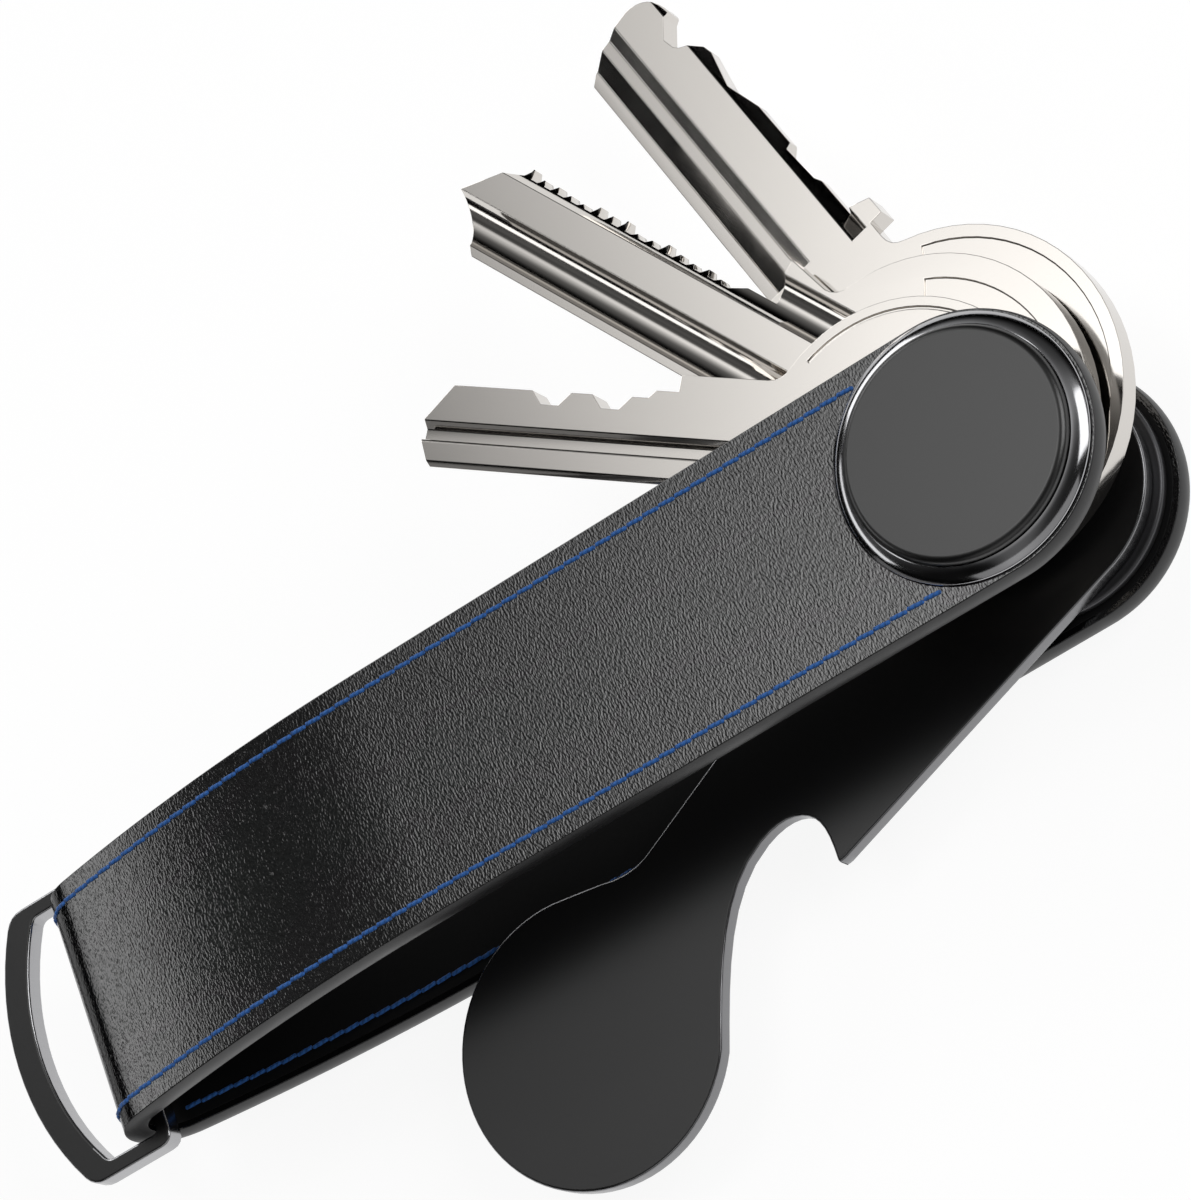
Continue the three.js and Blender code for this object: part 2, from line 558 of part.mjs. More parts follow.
function upperKey() {
  const head = { reach: UPPER_HEAD_REACH, offset: UPPER_HEAD_OFFSET, radius: UPPER_HEAD_RADIUS };
  const neckStart = head.reach + Math.sqrt(head.radius ** 2 - (UPPER_SHOULDER - head.offset) ** 2) + HEAD_FILLET;
  const stopStart = neckStart + UPPER_NECK_LENGTH;
  const stopEnd = stopStart + UPPER_STOP_LENGTH;
  const hook = UPPER_HOOK.map(([back, across]) => [UPPER_LENGTH - back, across]);
  const hookEnd = hook.at(-1)[0];
  const bitting = UPPER_BITTING.map(([share, across]) => [hookEnd + share * (stopEnd - hookEnd), across]);
  const edge = [
    [stopStart, UPPER_SHOULDER], [stopStart, UPPER_STOP], [stopEnd - UPPER_STOP_LENGTH / 3, UPPER_STOP],
    [stopEnd, UPPER_FACE_EDGE + UPPER_LEDGE_WIDTH], ...bitting.toReversed(), ...hook.toReversed(),
  ];
  const tipReach = UPPER_LENGTH - UPPER_TIP_RADIUS;
  const tipAcross = UPPER_FACE_EDGE + UPPER_HOOK_RISE - UPPER_TIP_RADIUS;
  const tip = arc(tipReach, tipAcross, UPPER_TIP_RADIUS, Math.PI / 2, 0, 2 * BLEND_STEPS);
  const back = [
    ...tip, [UPPER_LENGTH - UPPER_TIP_SLANT / 2, UPPER_BACK + UPPER_TIP_SLANT / 2],
    [UPPER_LENGTH - UPPER_TIP_SLANT, UPPER_BACK], [stopEnd, UPPER_BACK],
  ];
  const deepest = UPPER_STEP_PROFILE.at(-1)[1];
  const channel = milled([
    [UPPER_FACE_BACK, 0], ...UPPER_STEP_PROFILE, [UPPER_BACK - OVERCUT, deepest],
    [UPPER_BACK - OVERCUT, -OVERCUT], [UPPER_FACE_BACK, -OVERCUT],
  ], stopEnd - UPPER_CHANNEL_RUN_OUT, UPPER_LENGTH + OVERCUT);
  const ledgeEdge = UPPER_FACE_EDGE + UPPER_LEDGE_WIDTH;
  const ledge = milled([
    [UPPER_FACE_EDGE, 0], [ledgeEdge, UPPER_LEDGE_DEPTH], [UPPER_STOP + OVERCUT, UPPER_LEDGE_DEPTH],
    [UPPER_STOP + OVERCUT, -OVERCUT], [UPPER_FACE_EDGE, -OVERCUT],
  ], stopEnd, UPPER_LENGTH + OVERCUT);
  const runOut = milled([
    [UPPER_FACE_EDGE, 0], [ledgeEdge, UPPER_LEDGE_DEPTH], [ledgeEdge + UPPER_LEDGE_RISE, 0],
    [ledgeEdge + UPPER_LEDGE_RISE, -OVERCUT], [UPPER_FACE_EDGE, -OVERCUT],
  ], stopStart, stopEnd + OVERCUT);
  const band = headBand(head, UPPER_BAND_INSET, BAND_WIDTH, UPPER_BAND_SPAN);
  return keyBlank(head, edge, back).subtract(channel).subtract(ledge).subtract(runOut).subtract(band);
}

// Bottle opener with a token end, drawn folded into the case like the keys

function opener() {
  const neckReach = TOKEN_REACH - TOKEN_NECK_SET_BACK;
  const lean = Math.asin((OPENER_HEAD_RADIUS - OPENER_NECK_HALF_WIDTH) / neckReach);
  const shankHalf = (reach) => OPENER_HEAD_RADIUS / Math.cos(lean) - reach * Math.tan(lean);
  const head = arc(0, 0, OPENER_HEAD_RADIUS, Math.PI * 1.5 + lean, Math.PI / 2 - lean, HEAD_FACETS);
  const neckHalf = shankHalf(neckReach);
  const neck = curve([
    [neckReach, neckHalf],
    [neckReach + OPENER_NECK_SWEEP / 2, neckHalf],
    [neckReach + OPENER_NECK_SWEEP, neckHalf + OPENER_NECK_RISE],
  ], BLEND_STEPS);
  const [tokenStart, tokenEnd] = TOKEN_SPAN.map(THREE.MathUtils.degToRad);
  const token = arc(TOKEN_REACH, 0, TOKEN_RADIUS, tokenStart, tokenEnd, HEAD_FACETS);
  const [flankReach, flankAcross] = token.at(-1);
  const crownReach = HOOK_REACH + NOTCH_CROWN_RUN;
  const crown = [crownReach, NOTCH_CROWN];
  const flank = curve([
    [flankReach, flankAcross], [flankReach - TOKEN_FLANK_PULL, flankAcross + TOKEN_FLANK_PULL],
    [crownReach + NOTCH_FLANK_PULL, NOTCH_CROWN], crown,
  ], 2 * BLEND_STEPS);
  const throatReach = HOOK_REACH - THROAT_SET_BACK;
  const throatEnd = NOTCH_CROWN - THROAT_DEPTH;
  const throat = curve([
    crown, [crownReach - NOTCH_THROAT_PULL, NOTCH_CROWN],
    [throatReach, throatEnd + THROAT_PULL], [throatReach, throatEnd],
  ], 2 * BLEND_STEPS);
  const tip = [HOOK_REACH, -HOOK_LENGTH];
  const lip = curve([[throatReach, throatEnd], [throatReach, throatEnd - LIP_PULL], tip], BLEND_STEPS);
  const heel = [throatReach, -shankHalf(throatReach)];
  const hook = curve([tip, [HOOK_REACH, heel[1]], heel], BLEND_STEPS);
  const outline = [
    ...head, ...neck, ...token, ...flank.slice(1), ...throat.slice(1), ...lip.slice(1), ...hook.slice(1),
  ];
  const hole = rod(BARREL_RADIUS + PIVOT_CLEARANCE, -OVERCUT, OPENER_THICKNESS + OVERCUT, SLIM_FACETS);
  return plate(outline.map(place), 0, OPENER_THICKNESS).subtract(hole);
}

// D-ring, drawn with the middle of its bar on the Y axis: one flat closed loop

function dRing() {
  const inner = STRAP_WIDTH / 2 + RING_SIDE_GAP;
  const outer = inner + RING_ARM_WIDTH;
  const arcX = RING_ARC_RADIUS - RING_REACH;
  const barEnd = RING_BAR_WIDTH / 2;
  const halfLoop = (half, radius, corner, endX) => {
    const lean = Math.asin(half / radius);
    const sharp = [arcX - radius * Math.cos(lean), half];
    const bend = arc(arcX, 0, radius, Math.PI - lean + corner / radius, Math.PI, FOLD_STEPS);
    const back = curve([[endX, half - corner], [endX, half], [endX - corner, half]], BLEND_STEPS);
    return [...back, ...curve([[sharp[0] + corner, half], sharp, bend[0]], BLEND_STEPS), ...bend.slice(1)];
  };
  const whole = (upper) => [...upper, ...upper.slice(0, -1).map(([x, y]) => [x, -y]).reverse()];
  const rim = plate(
    whole(halfLoop(outer, RING_ARC_RADIUS, RING_CORNER, barEnd)), -RING_THICKNESS / 2, RING_THICKNESS);
  const opening = plate(
    whole(halfLoop(inner, RING_ARC_RADIUS - RING_BAND_WIDTH, RING_INNER_CORNER, barEnd - RING_BAR_WIDTH)),
    -RING_THICKNESS / 2 - OVERCUT, RING_THICKNESS + 2 * OVERCUT);
  return rim.subtract(opening);
}

// Finishes

const finish = (color, roughness, metalness) => new THREE.MeshStandardMaterial({ color, roughness, metalness });
const leatherFinish = () => finish(0x1d1d1e, 0.55, 0);
const liningFinish = () => finish(0x101010, 0.8, 0);
const threadFinish = () => finish(0x1f3f8f, 0.7, 0);
const darkChromeFinish = () => finish(0x3a3a3c, 0.25, 1);
const badgeFinish = () => finish(0x545455, 0.45, 0.3);
const steelFinish = () => finish(0x8f9092, 0.35, 1);
const nickelFinish = () => finish(0xc9c5c0, 0.28, 1);
const blackFinish = () => finish(0x17171a, 0.4, 0.6);
const nylonFinish = () => finish(0x202022, 0.6, 0);

function mesh(name, solid, material) {
  const piece = new THREE.Mesh(geometryFrom(solid), material);
  piece.name = name;
  return piece;
}

// Assembly

const keyCase = new THREE.Group();

keyCase.add(
  mesh('leather_strap', strapLayer(0, LEATHER_THICKNESS), leatherFinish()),
  mesh('strap_lining', strapLayer(LEATHER_THICKNESS + BOND_GAP, WALL), liningFinish()),
  mesh('upper_edge_stitching', stitchRow(1), threadFinish()),
  mesh('lower_edge_stitching', stitchRow(-1), threadFinish()),
);

const frontEnd = new THREE.Group();
frontEnd.position.z = FRONT_FACE_Z;
frontEnd.add(
  mesh('front_cap', capBody(FRONT_CAP_RADIUS), darkChromeFinish()),
  mesh('front_badge', badge(FRONT_CAP_RADIUS), badgeFinish()),
  mesh('post_barrel', barrel(), steelFinish()),
);

const rearEnd = new THREE.Group();
rearEnd.position.z = REAR_FACE_Z;
rearEnd.rotation.x = Math.PI;
rearEnd.add(
  mesh('rear_cap', capBody(REAR_CAP_RADIUS), darkChromeFinish()),
  mesh('rear_badge', spannerBadge(), badgeFinish()),
  mesh('post_screw', screw(), steelFinish()),
);

// A piece of the stack at its height, swung out of the case about the post
function stacked(name, solid, material, swing = 0) {
  const piece = mesh(name, solid, material);
  piece.position.z = stackZ[name];
  piece.rotation.z = THREE.MathUtils.degToRad(-swing);
  return piece;
}

keyCase.add(
  frontEnd,
  rearEnd,
  stacked('rear_collar', collar(REAR_COLLAR_THICKNESS), darkChromeFinish()),
  stacked('bottle_opener', opener(), blackFinish(), OPENER_SWING),
  stacked('opener_spacer', washer(SPACER_THICKNESS), nylonFinish()),
  stacked('key_upper', upperKey(), nickelFinish(), UPPER_SWING),
  stacked('upper_washer', washer(WASHER_THICKNESS), nylonFinish()),
  stacked('key_middle', middleKey(), nickelFinish(), MIDDLE_SWING),
  stacked('lower_washer', washer(WASHER_THICKNESS), nylonFinish()),
  stacked('key_lower', lowerKey(), nickelFinish(), LOWER_SWING),
  stacked('front_collar', collar(FRONT_COLLAR_THICKNESS), darkChromeFinish()),
);

const ringPiece = mesh('d_ring', dRing(), blackFinish());
ringPiece.position.set(RING_AXIS_X, 0, MID_Z);
keyCase.add(ringPiece);

export default keyCase;
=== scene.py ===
"""Leather key case: the looks of a folded strap that carries keys and an opener on a screw post.

Everything is in metres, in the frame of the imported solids: +Z along the post towards the front cap,
-X along the strap towards its fold.
"""

import math

import bmesh
import bpy
from mathutils import Matrix, Vector


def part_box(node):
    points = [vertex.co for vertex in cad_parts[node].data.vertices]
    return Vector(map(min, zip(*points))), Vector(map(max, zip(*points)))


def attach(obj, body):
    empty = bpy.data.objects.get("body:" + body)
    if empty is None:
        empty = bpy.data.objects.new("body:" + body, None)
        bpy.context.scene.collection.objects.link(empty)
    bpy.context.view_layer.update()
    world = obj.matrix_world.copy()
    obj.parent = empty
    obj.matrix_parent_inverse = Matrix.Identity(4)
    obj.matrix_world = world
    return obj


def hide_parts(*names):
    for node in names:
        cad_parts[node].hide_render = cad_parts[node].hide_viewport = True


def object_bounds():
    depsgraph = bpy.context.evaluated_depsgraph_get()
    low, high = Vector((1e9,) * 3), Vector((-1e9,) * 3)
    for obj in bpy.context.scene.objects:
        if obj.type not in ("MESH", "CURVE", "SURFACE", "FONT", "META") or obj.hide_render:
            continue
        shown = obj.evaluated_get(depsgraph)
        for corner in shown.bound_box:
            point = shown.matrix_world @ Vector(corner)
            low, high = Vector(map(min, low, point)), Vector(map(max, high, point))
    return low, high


bl_info = {
    "name": "Leather Key Case",
    "version": (1, 0, 0),
    "blender": (4, 5, 0),
    "location": "View3D > Sidebar > Key Case",
    "description": "Models and finishes a leather key case around its solids",
    "category": "Object",
}

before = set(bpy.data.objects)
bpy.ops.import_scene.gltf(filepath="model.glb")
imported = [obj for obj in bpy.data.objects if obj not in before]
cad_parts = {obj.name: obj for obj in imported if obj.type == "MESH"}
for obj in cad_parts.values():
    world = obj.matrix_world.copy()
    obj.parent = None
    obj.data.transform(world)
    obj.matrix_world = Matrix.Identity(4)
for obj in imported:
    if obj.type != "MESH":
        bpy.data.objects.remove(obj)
CAD_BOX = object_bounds()

MM = 0.001
WELD = 0.001 * MM

# Heights and reaches of the strap, most of them read off its solids
STRAP_LOW, STRAP_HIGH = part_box("leather_strap")
STITCH_LOW, STITCH_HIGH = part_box("upper_edge_stitching")
HALF_WIDTH = STRAP_HIGH.y
REAR_FACE = STRAP_LOW.z
FRONT_FACE = STRAP_HIGH.z
MIDDLE = (REAR_FACE + FRONT_FACE) / 2
HALF_HEIGHT = (FRONT_FACE - REAR_FACE) / 2
FLAT_REACH = 53 * MM
FOLD_RADIUS = 4.85 * MM
FOLD_REACH = -STRAP_LOW.x - FOLD_RADIUS
BEND_ANGLE = 2 * math.atan((HALF_HEIGHT - FOLD_RADIUS) / (FOLD_REACH - FLAT_REACH))
BEND_RADIUS = FOLD_RADIUS + (FOLD_REACH - FLAT_REACH) / math.sin(BEND_ANGLE)
FOLD_ANGLE = math.pi - 2 * BEND_ANGLE
STRAP_LENGTH = 2 * FLAT_REACH + 2 * BEND_ANGLE * BEND_RADIUS + FOLD_ANGLE * FOLD_RADIUS
WALL = 2 * MM
LEATHER_DEPTH = FRONT_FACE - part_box("strap_lining")[1].z
STITCH_LINE = (STITCH_LOW.y + STITCH_HIGH.y) / 2
STITCH_END = STITCH_HIGH.x

# Post, with heights over the leather at either end
HOLE_RADIUS = 2.7 * MM
FLANGE_RADIUS = 5 * MM
FLANGE_FOOT = 0.55 * MM
FLANGE_TOP = 1 * MM
BARREL_RADIUS = 2.5 * MM
BARREL_BORE = 1.58 * MM
BARREL_BORE_END = -1.5 * MM
SCREW_RADIUS = 1.5 * MM
POST_EDGE = 0.06 * MM

# Caps and badges, with heights over the leather and angles in degrees
CAP_FOOT = 0.05 * MM
CAP_SEAT = 0.5 * MM
CAP_RIM_WIDTH = 1.2 * MM
CAP_RIM_HEIGHT = 0.98 * MM
CAP_CROWN = 2.1 * MM
CAP_LEAN = 12
CAP_FALL = 50
CAP_WALL_ROUND = 0.1 * MM
BADGE_FOOT = 0.55 * MM
BADGE_HOLLOW = 5.2 * MM
BADGE_HOLLOW_TOP = 1.05 * MM
BADGE_ROLL = 0.66 * MM
BADGE_FACE = 1.7 * MM
SPANNER_REACH = 6.2 * MM
SPANNER_RADIUS = 1 * MM
SPANNER_DEPTH = 0.5 * MM

# Stage, in metres but for the sensor
FLOOR_SIZE = 6
LAMP_DISTANCE = 1.2
SENSOR_MM = 36

# Steps on round shapes
TURN_STEPS = 144
BEND_STEPS = 14
FOLD_STEPS = 44
END_STEPS = 72
CORNER_STEPS = 5
ROLL_STEPS = 14


# Colour and nodes


def linear(value):
    """An sRGB hex colour as the linear colour that Blender works in."""
    parts = [((value >> shift) & 255) / 255 for shift in (16, 8, 0)]
    return [c / 12.92 if c <= 0.04045 else ((c + 0.055) / 1.055) ** 2.4 for c in parts]


def add_node(tree, kind, settings=(), *sources, **links):
    """Add a node, give its sockets, options and colour stops their settings and link its sockets to others.

    Sources are linked to its sockets in order, and links by the sockets' names.
    """
    node = tree.nodes.new(kind)
    for name, value in dict(settings).items():
        if name == "stops":
            elements = node.color_ramp.elements
            while len(elements) < len(value):
                elements.new(1)
            for element, (place, colour) in zip(elements, value):
                element.position = place
                element.color = (*colour, 1)
        elif name in node.inputs.keys():
            node.inputs[name].default_value = value
        else:
            setattr(node, name, value)
    for socket, source in zip(node.inputs, sources):
        tree.links.new(source, socket)
    for name, source in links.items():
        tree.links.new(source, node.inputs[name.replace("_", " ")])
    return node


def new_material(name, colour, **settings):
    """A material whose shader has one colour and plain settings, to which a pattern is then linked."""
    material = bpy.data.materials.new(name)
    material.use_nodes = True
    shader = material.node_tree.nodes["Principled BSDF"]
    shader.inputs["Base Color"].default_value = (*colour, 1)
    for socket, value in settings.items():
        shader.inputs[socket.replace("_", " ")].default_value = value
    material.diffuse_color = (*colour, 1)
    return material, material.node_tree, shader


# Properties


class KeyCaseSizes(bpy.types.PropertyGroup):
    edge_round: bpy.props.FloatProperty(
        name="Edge rounding", description="Radius of the painted edge's corners",
        default=0.11 * MM, unit="LENGTH", precision=5)
    edge_crown: bpy.props.FloatProperty(
        name="Edge crown", description="Radius of the painted edge's outward curve",
        default=2.9 * MM, unit="LENGTH", precision=5)
    edge_wrap: bpy.props.FloatProperty(
        name="Edge paint", description="How thick the painted edge stands round the lining",
        default=0.35 * MM, unit="LENGTH", precision=5)
    stitch_pitch: bpy.props.FloatProperty(
        name="Stitch pitch", description="Distance from one stitch to the next",
        default=1.5 * MM, unit="LENGTH", precision=5)
    stitch_length: bpy.props.FloatProperty(
        name="Stitch length", description="Length of the thread that shows in one stitch",
        default=1.76 * MM, unit="LENGTH", precision=5)
    thread_width: bpy.props.FloatProperty(
        name="Thread width", description="Width of the sewing thread",
        default=0.4 * MM, unit="LENGTH", precision=5)
    stitch_slant: bpy.props.FloatProperty(
        name="Stitch slant", description="Angle of a stitch to its row",
        default=math.radians(4.5), subtype="ANGLE")
    key_edge: bpy.props.FloatProperty(
        name="Key edge", description="Rounding of the keys' edges",
        default=0.07 * MM, unit="LENGTH", precision=5)
    steel_edge: bpy.props.FloatProperty(
        name="Steel edge", description="Rounding of the edges of the opener and the ring",
        default=0.24 * MM, unit="LENGTH", precision=5)
    grain: bpy.props.FloatProperty(
        name="Leather grain", description="Width of one ridge of the leather's wrinkle grain",
        default=0.16 * MM, unit="LENGTH", precision=5)


class KeyCaseColours(bpy.types.PropertyGroup):
    leather: bpy.props.FloatVectorProperty(
        name="Leather", description="Dyed outer leather", subtype="COLOR", default=linear(0x0F0F10))
    edge_paint: bpy.props.FloatVectorProperty(
        name="Edge paint", description="Burnished edge of the strap", subtype="COLOR",
        default=linear(0x262627))
    lining: bpy.props.FloatVectorProperty(
        name="Lining", description="Smooth inner leather", subtype="COLOR", default=linear(0x0B0B0C))
    thread: bpy.props.FloatVectorProperty(
        name="Thread", description="Sewing thread", subtype="COLOR", default=linear(0x3078D2))
    badge: bpy.props.FloatVectorProperty(
        name="Badge", description="Anodised discs in the caps", subtype="COLOR", default=linear(0x535353))
    bezel: bpy.props.FloatVectorProperty(
        name="Bezel", description="Dark chrome of the caps", subtype="COLOR", default=linear(0xAEAEB0))
    nickel: bpy.props.FloatVectorProperty(
        name="Nickel", description="Plating of the keys", subtype="COLOR", default=linear(0xD4D0CB))
    black_steel: bpy.props.FloatVectorProperty(
        name="Black steel", description="Blackened faces of the opener and the ring", subtype="COLOR",
        default=linear(0x0A0A0B))
    cut_steel: bpy.props.FloatVectorProperty(
        name="Cut steel", description="Cut edge of the opener", subtype="COLOR", default=linear(0x808082))
    polished_steel: bpy.props.FloatVectorProperty(
        name="Polished steel", description="Polished edge of the ring", subtype="COLOR",
        default=linear(0xACACAE))
    collar: bpy.props.FloatVectorProperty(
        name="Collar", description="Gunmetal collars", subtype="COLOR", default=linear(0x5A5A5C))


class KeyCaseStage(bpy.types.PropertyGroup):
    camera_place: bpy.props.FloatVectorProperty(
        name="Camera place", description="Where the camera stands", subtype="TRANSLATION", unit="LENGTH",
        default=(0.08722, -0.14044, 0.30443))
    camera_turn: bpy.props.FloatVectorProperty(
        name="Camera turn", description="How the camera is turned", subtype="EULER",
        default=[math.radians(a) for a in (15.1295, 30.0673, -22.4841)])
    lens: bpy.props.FloatProperty(
        name="Lens", description="Focal length in millimetres on a 36 mm sensor", default=135, unit="CAMERA")


def sizes():
    return bpy.context.scene.key_case_sizes


def colours():
    return bpy.context.scene.key_case_colours


# Modelling steps that several pieces share


def clear_selection():
    if bpy.context.mode != "OBJECT":
        bpy.ops.object.mode_set(mode="OBJECT")
    bpy.ops.object.select_all(action="DESELECT")


def draw_chain(name, points):
    """Draw a chain of edges from one vertex, point by point, and stay in edit mode."""
    clear_selection()
    bpy.ops.mesh.primitive_plane_add(size=MM, location=points[0])
    piece = bpy.context.object
    piece.name = piece.data.name = name
    bpy.ops.object.transform_apply()
    bpy.ops.object.mode_set(mode="EDIT")
    bpy.ops.mesh.merge(type="CENTER")
    for last, point in zip(points, points[1:]):
        bpy.ops.mesh.extrude_vertices_move(TRANSFORM_OT_translate={"value": point - last})
    bpy.ops.mesh.select_all(action="SELECT")
    bpy.ops.mesh.remove_doubles(threshold=WELD)
    return piece


def select_in_edit(piece, wanted):
    """Select the vertices that wanted() is true of, with the edges and faces between them."""
    bpy.ops.mesh.select_mode(type="VERT")
    bpy.ops.mesh.select_all(action="DESELECT")
    shape = bmesh.from_edit_mesh(piece.data)
    for vertex in shape.verts:
        vertex.select = wanted(vertex.co)
    shape.select_flush(True)
    bmesh.update_edit_mesh(piece.data)


def close_shape():
    """Weld the shape in edit mode, point its faces outwards and leave edit mode."""
    bpy.ops.mesh.select_all(action="SELECT")
    bpy.ops.mesh.remove_doubles(threshold=WELD)
    bpy.ops.mesh.normals_make_consistent(inside=False)
    bpy.ops.object.mode_set(mode="OBJECT")


def use_modifier(piece, kind, **settings):
    """Add a modifier, set it and apply it."""
    bpy.context.view_layer.objects.active = piece
    modifier = piece.modifiers.new(kind.title(), kind)
    for name, value in settings.items():
        setattr(modifier, name, value)
    bpy.ops.object.modifier_apply(modifier=modifier.name)


def smooth(piece, degrees=35):
    clear_selection()
    piece.select_set(True)
    bpy.context.view_layer.objects.active = piece
    bpy.ops.object.shade_smooth_by_angle(angle=math.radians(degrees))
    use_modifier(piece, "WEIGHTED_NORMAL", keep_sharp=True, weight=90)


def turn_on_post(name, profile):
    """Turn a profile of (radius, height) all round the post."""
    piece = draw_chain(name, [Vector((radius, 0, height)) for radius, height in profile])
    bpy.ops.mesh.spin(steps=TURN_STEPS, angle=2 * math.pi, center=(0, 0, 0), axis=(0, 0, 1))
    close_shape()
    return piece


def punch(piece, place, radius, depth):
    """Cut a round hole along Z through a piece."""
    clear_selection()
    bpy.ops.mesh.primitive_cylinder_add(vertices=48, radius=radius, depth=depth, location=place)
    tool = bpy.context.object
    use_modifier(piece, "BOOLEAN", operation="DIFFERENCE", object=tool, solver="EXACT")
    bpy.data.objects.remove(tool)


def copy_of_solid(name, node):
    """A welded copy of a solid, with its flat faces made whole again."""
    clear_selection()
    piece = bpy.data.objects.new(name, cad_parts[node].data.copy())
    bpy.context.scene.collection.objects.link(piece)
    piece.data.name = name
    piece.data.materials.clear()
    piece.select_set(True)
    bpy.context.view_layer.objects.active = piece
    bpy.ops.object.mode_set(mode="EDIT")
    bpy.ops.mesh.select_all(action="SELECT")
    bpy.ops.mesh.customdata_custom_splitnormals_clear()
    bpy.ops.mesh.remove_doubles(threshold=WELD)
    bpy.ops.mesh.dissolve_limited(angle_limit=math.radians(0.5))
    bpy.ops.object.mode_set(mode="OBJECT")
    return piece


def paint_faces(piece, number, wanted):
    """Give the faces that wanted() is true of the material with this number."""
    for face in piece.data.polygons:
        if wanted(face):
            face.material_index = number


def place_piece(piece, body, slot, materials, *nodes):
    """Give a finished piece its materials, its body and the solids that it stands for."""
    for material in materials:
        piece.data.materials.append(material)
    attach(piece, body)
    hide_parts(*nodes)


def corner(centre_across, centre_depth, radius, start, end, steps=CORNER_STEPS):
    """Points on an arc, from one angle to another in degrees."""
    points = []
    for step in range(steps + 1):
        angle = math.radians(start + (end - start) * step / steps)
        points.append((centre_across + radius * math.cos(angle), centre_depth + radius * math.sin(angle)))
    return points


# Strap


def sweep_strap(name, half_section):
    """Sweep a section down the front of the strap, round its fold and back, with round ends.

    The half section is a list of (across, depth under the outer face), from the middle of the outer side to
    the middle of the inner one.
    """
    mirrored = [(-across, depth) for across, depth in half_section[-2:0:-1]]
    loop = [*half_section, *mirrored, half_section[0]]
    piece = draw_chain(name, [Vector((0, across, FRONT_FACE - depth)) for across, depth in loop])
    down = (0, 1, 0)
    bpy.ops.mesh.select_all(action="SELECT")
    bpy.ops.mesh.extrude_region_move(TRANSFORM_OT_translate={"value": (-FLAT_REACH, 0, 0)})
    bpy.ops.mesh.spin(
        steps=BEND_STEPS, angle=BEND_ANGLE, center=(-FLAT_REACH, 0, FRONT_FACE - BEND_RADIUS), axis=down)
    bpy.ops.mesh.spin(steps=FOLD_STEPS, angle=FOLD_ANGLE, center=(-FOLD_REACH, 0, MIDDLE), axis=down)
    bpy.ops.mesh.spin(
        steps=BEND_STEPS, angle=BEND_ANGLE, center=(-FLAT_REACH, 0, REAR_FACE + BEND_RADIUS), axis=down)
    bpy.ops.mesh.extrude_region_move(TRANSFORM_OT_translate={"value": (FLAT_REACH, 0, 0)})
    for is_half in (lambda co: co.z > MIDDLE, lambda co: co.z < MIDDLE):
        select_in_edit(piece, lambda co: abs(co.x) < WELD and co.y < WELD and is_half(co))
        bpy.ops.mesh.spin(steps=END_STEPS, angle=math.pi, center=(0, 0, 0), axis=(0, 0, -1))
    close_shape()
    punch(piece, (0, 0, MIDDLE), HOLE_RADIUS, 4 * HALF_HEIGHT)
    smooth(piece)
    return piece


def edge_distance(co):
    """How far a point lies inside the strap's outline, seen from above."""
    return HALF_WIDTH - (math.hypot(co.x, co.y) if co.x > 0 else abs(co.y))


def strap_place(distance, depth):
    """The point of the strap at a distance from the post and a depth under its outer face, with its axes.

    The axes run along the strap, across it and outwards.
    """
    x, z, lean = 0, FRONT_FACE, 0
    bend = (BEND_ANGLE, BEND_RADIUS)
    for size, radius in ((FLAT_REACH, None), bend, (FOLD_ANGLE, FOLD_RADIUS), bend):
        run = size * (radius or 1)
        part = min(distance, run)
        if radius is None:
            x -= part
        else:
            turn = part / radius
            x += radius * (math.sin(lean) - math.sin(lean + turn))
            z += radius * (math.cos(lean + turn) - math.cos(lean))
            lean += turn
        distance -= part
    x += distance
    along = Vector((-math.cos(lean), 0, -math.sin(lean)))
    outwards = Vector((-math.sin(lean), 0, math.cos(lean)))
    place = Vector((x, 0, z)) - depth * outwards
    return place, along, outwards


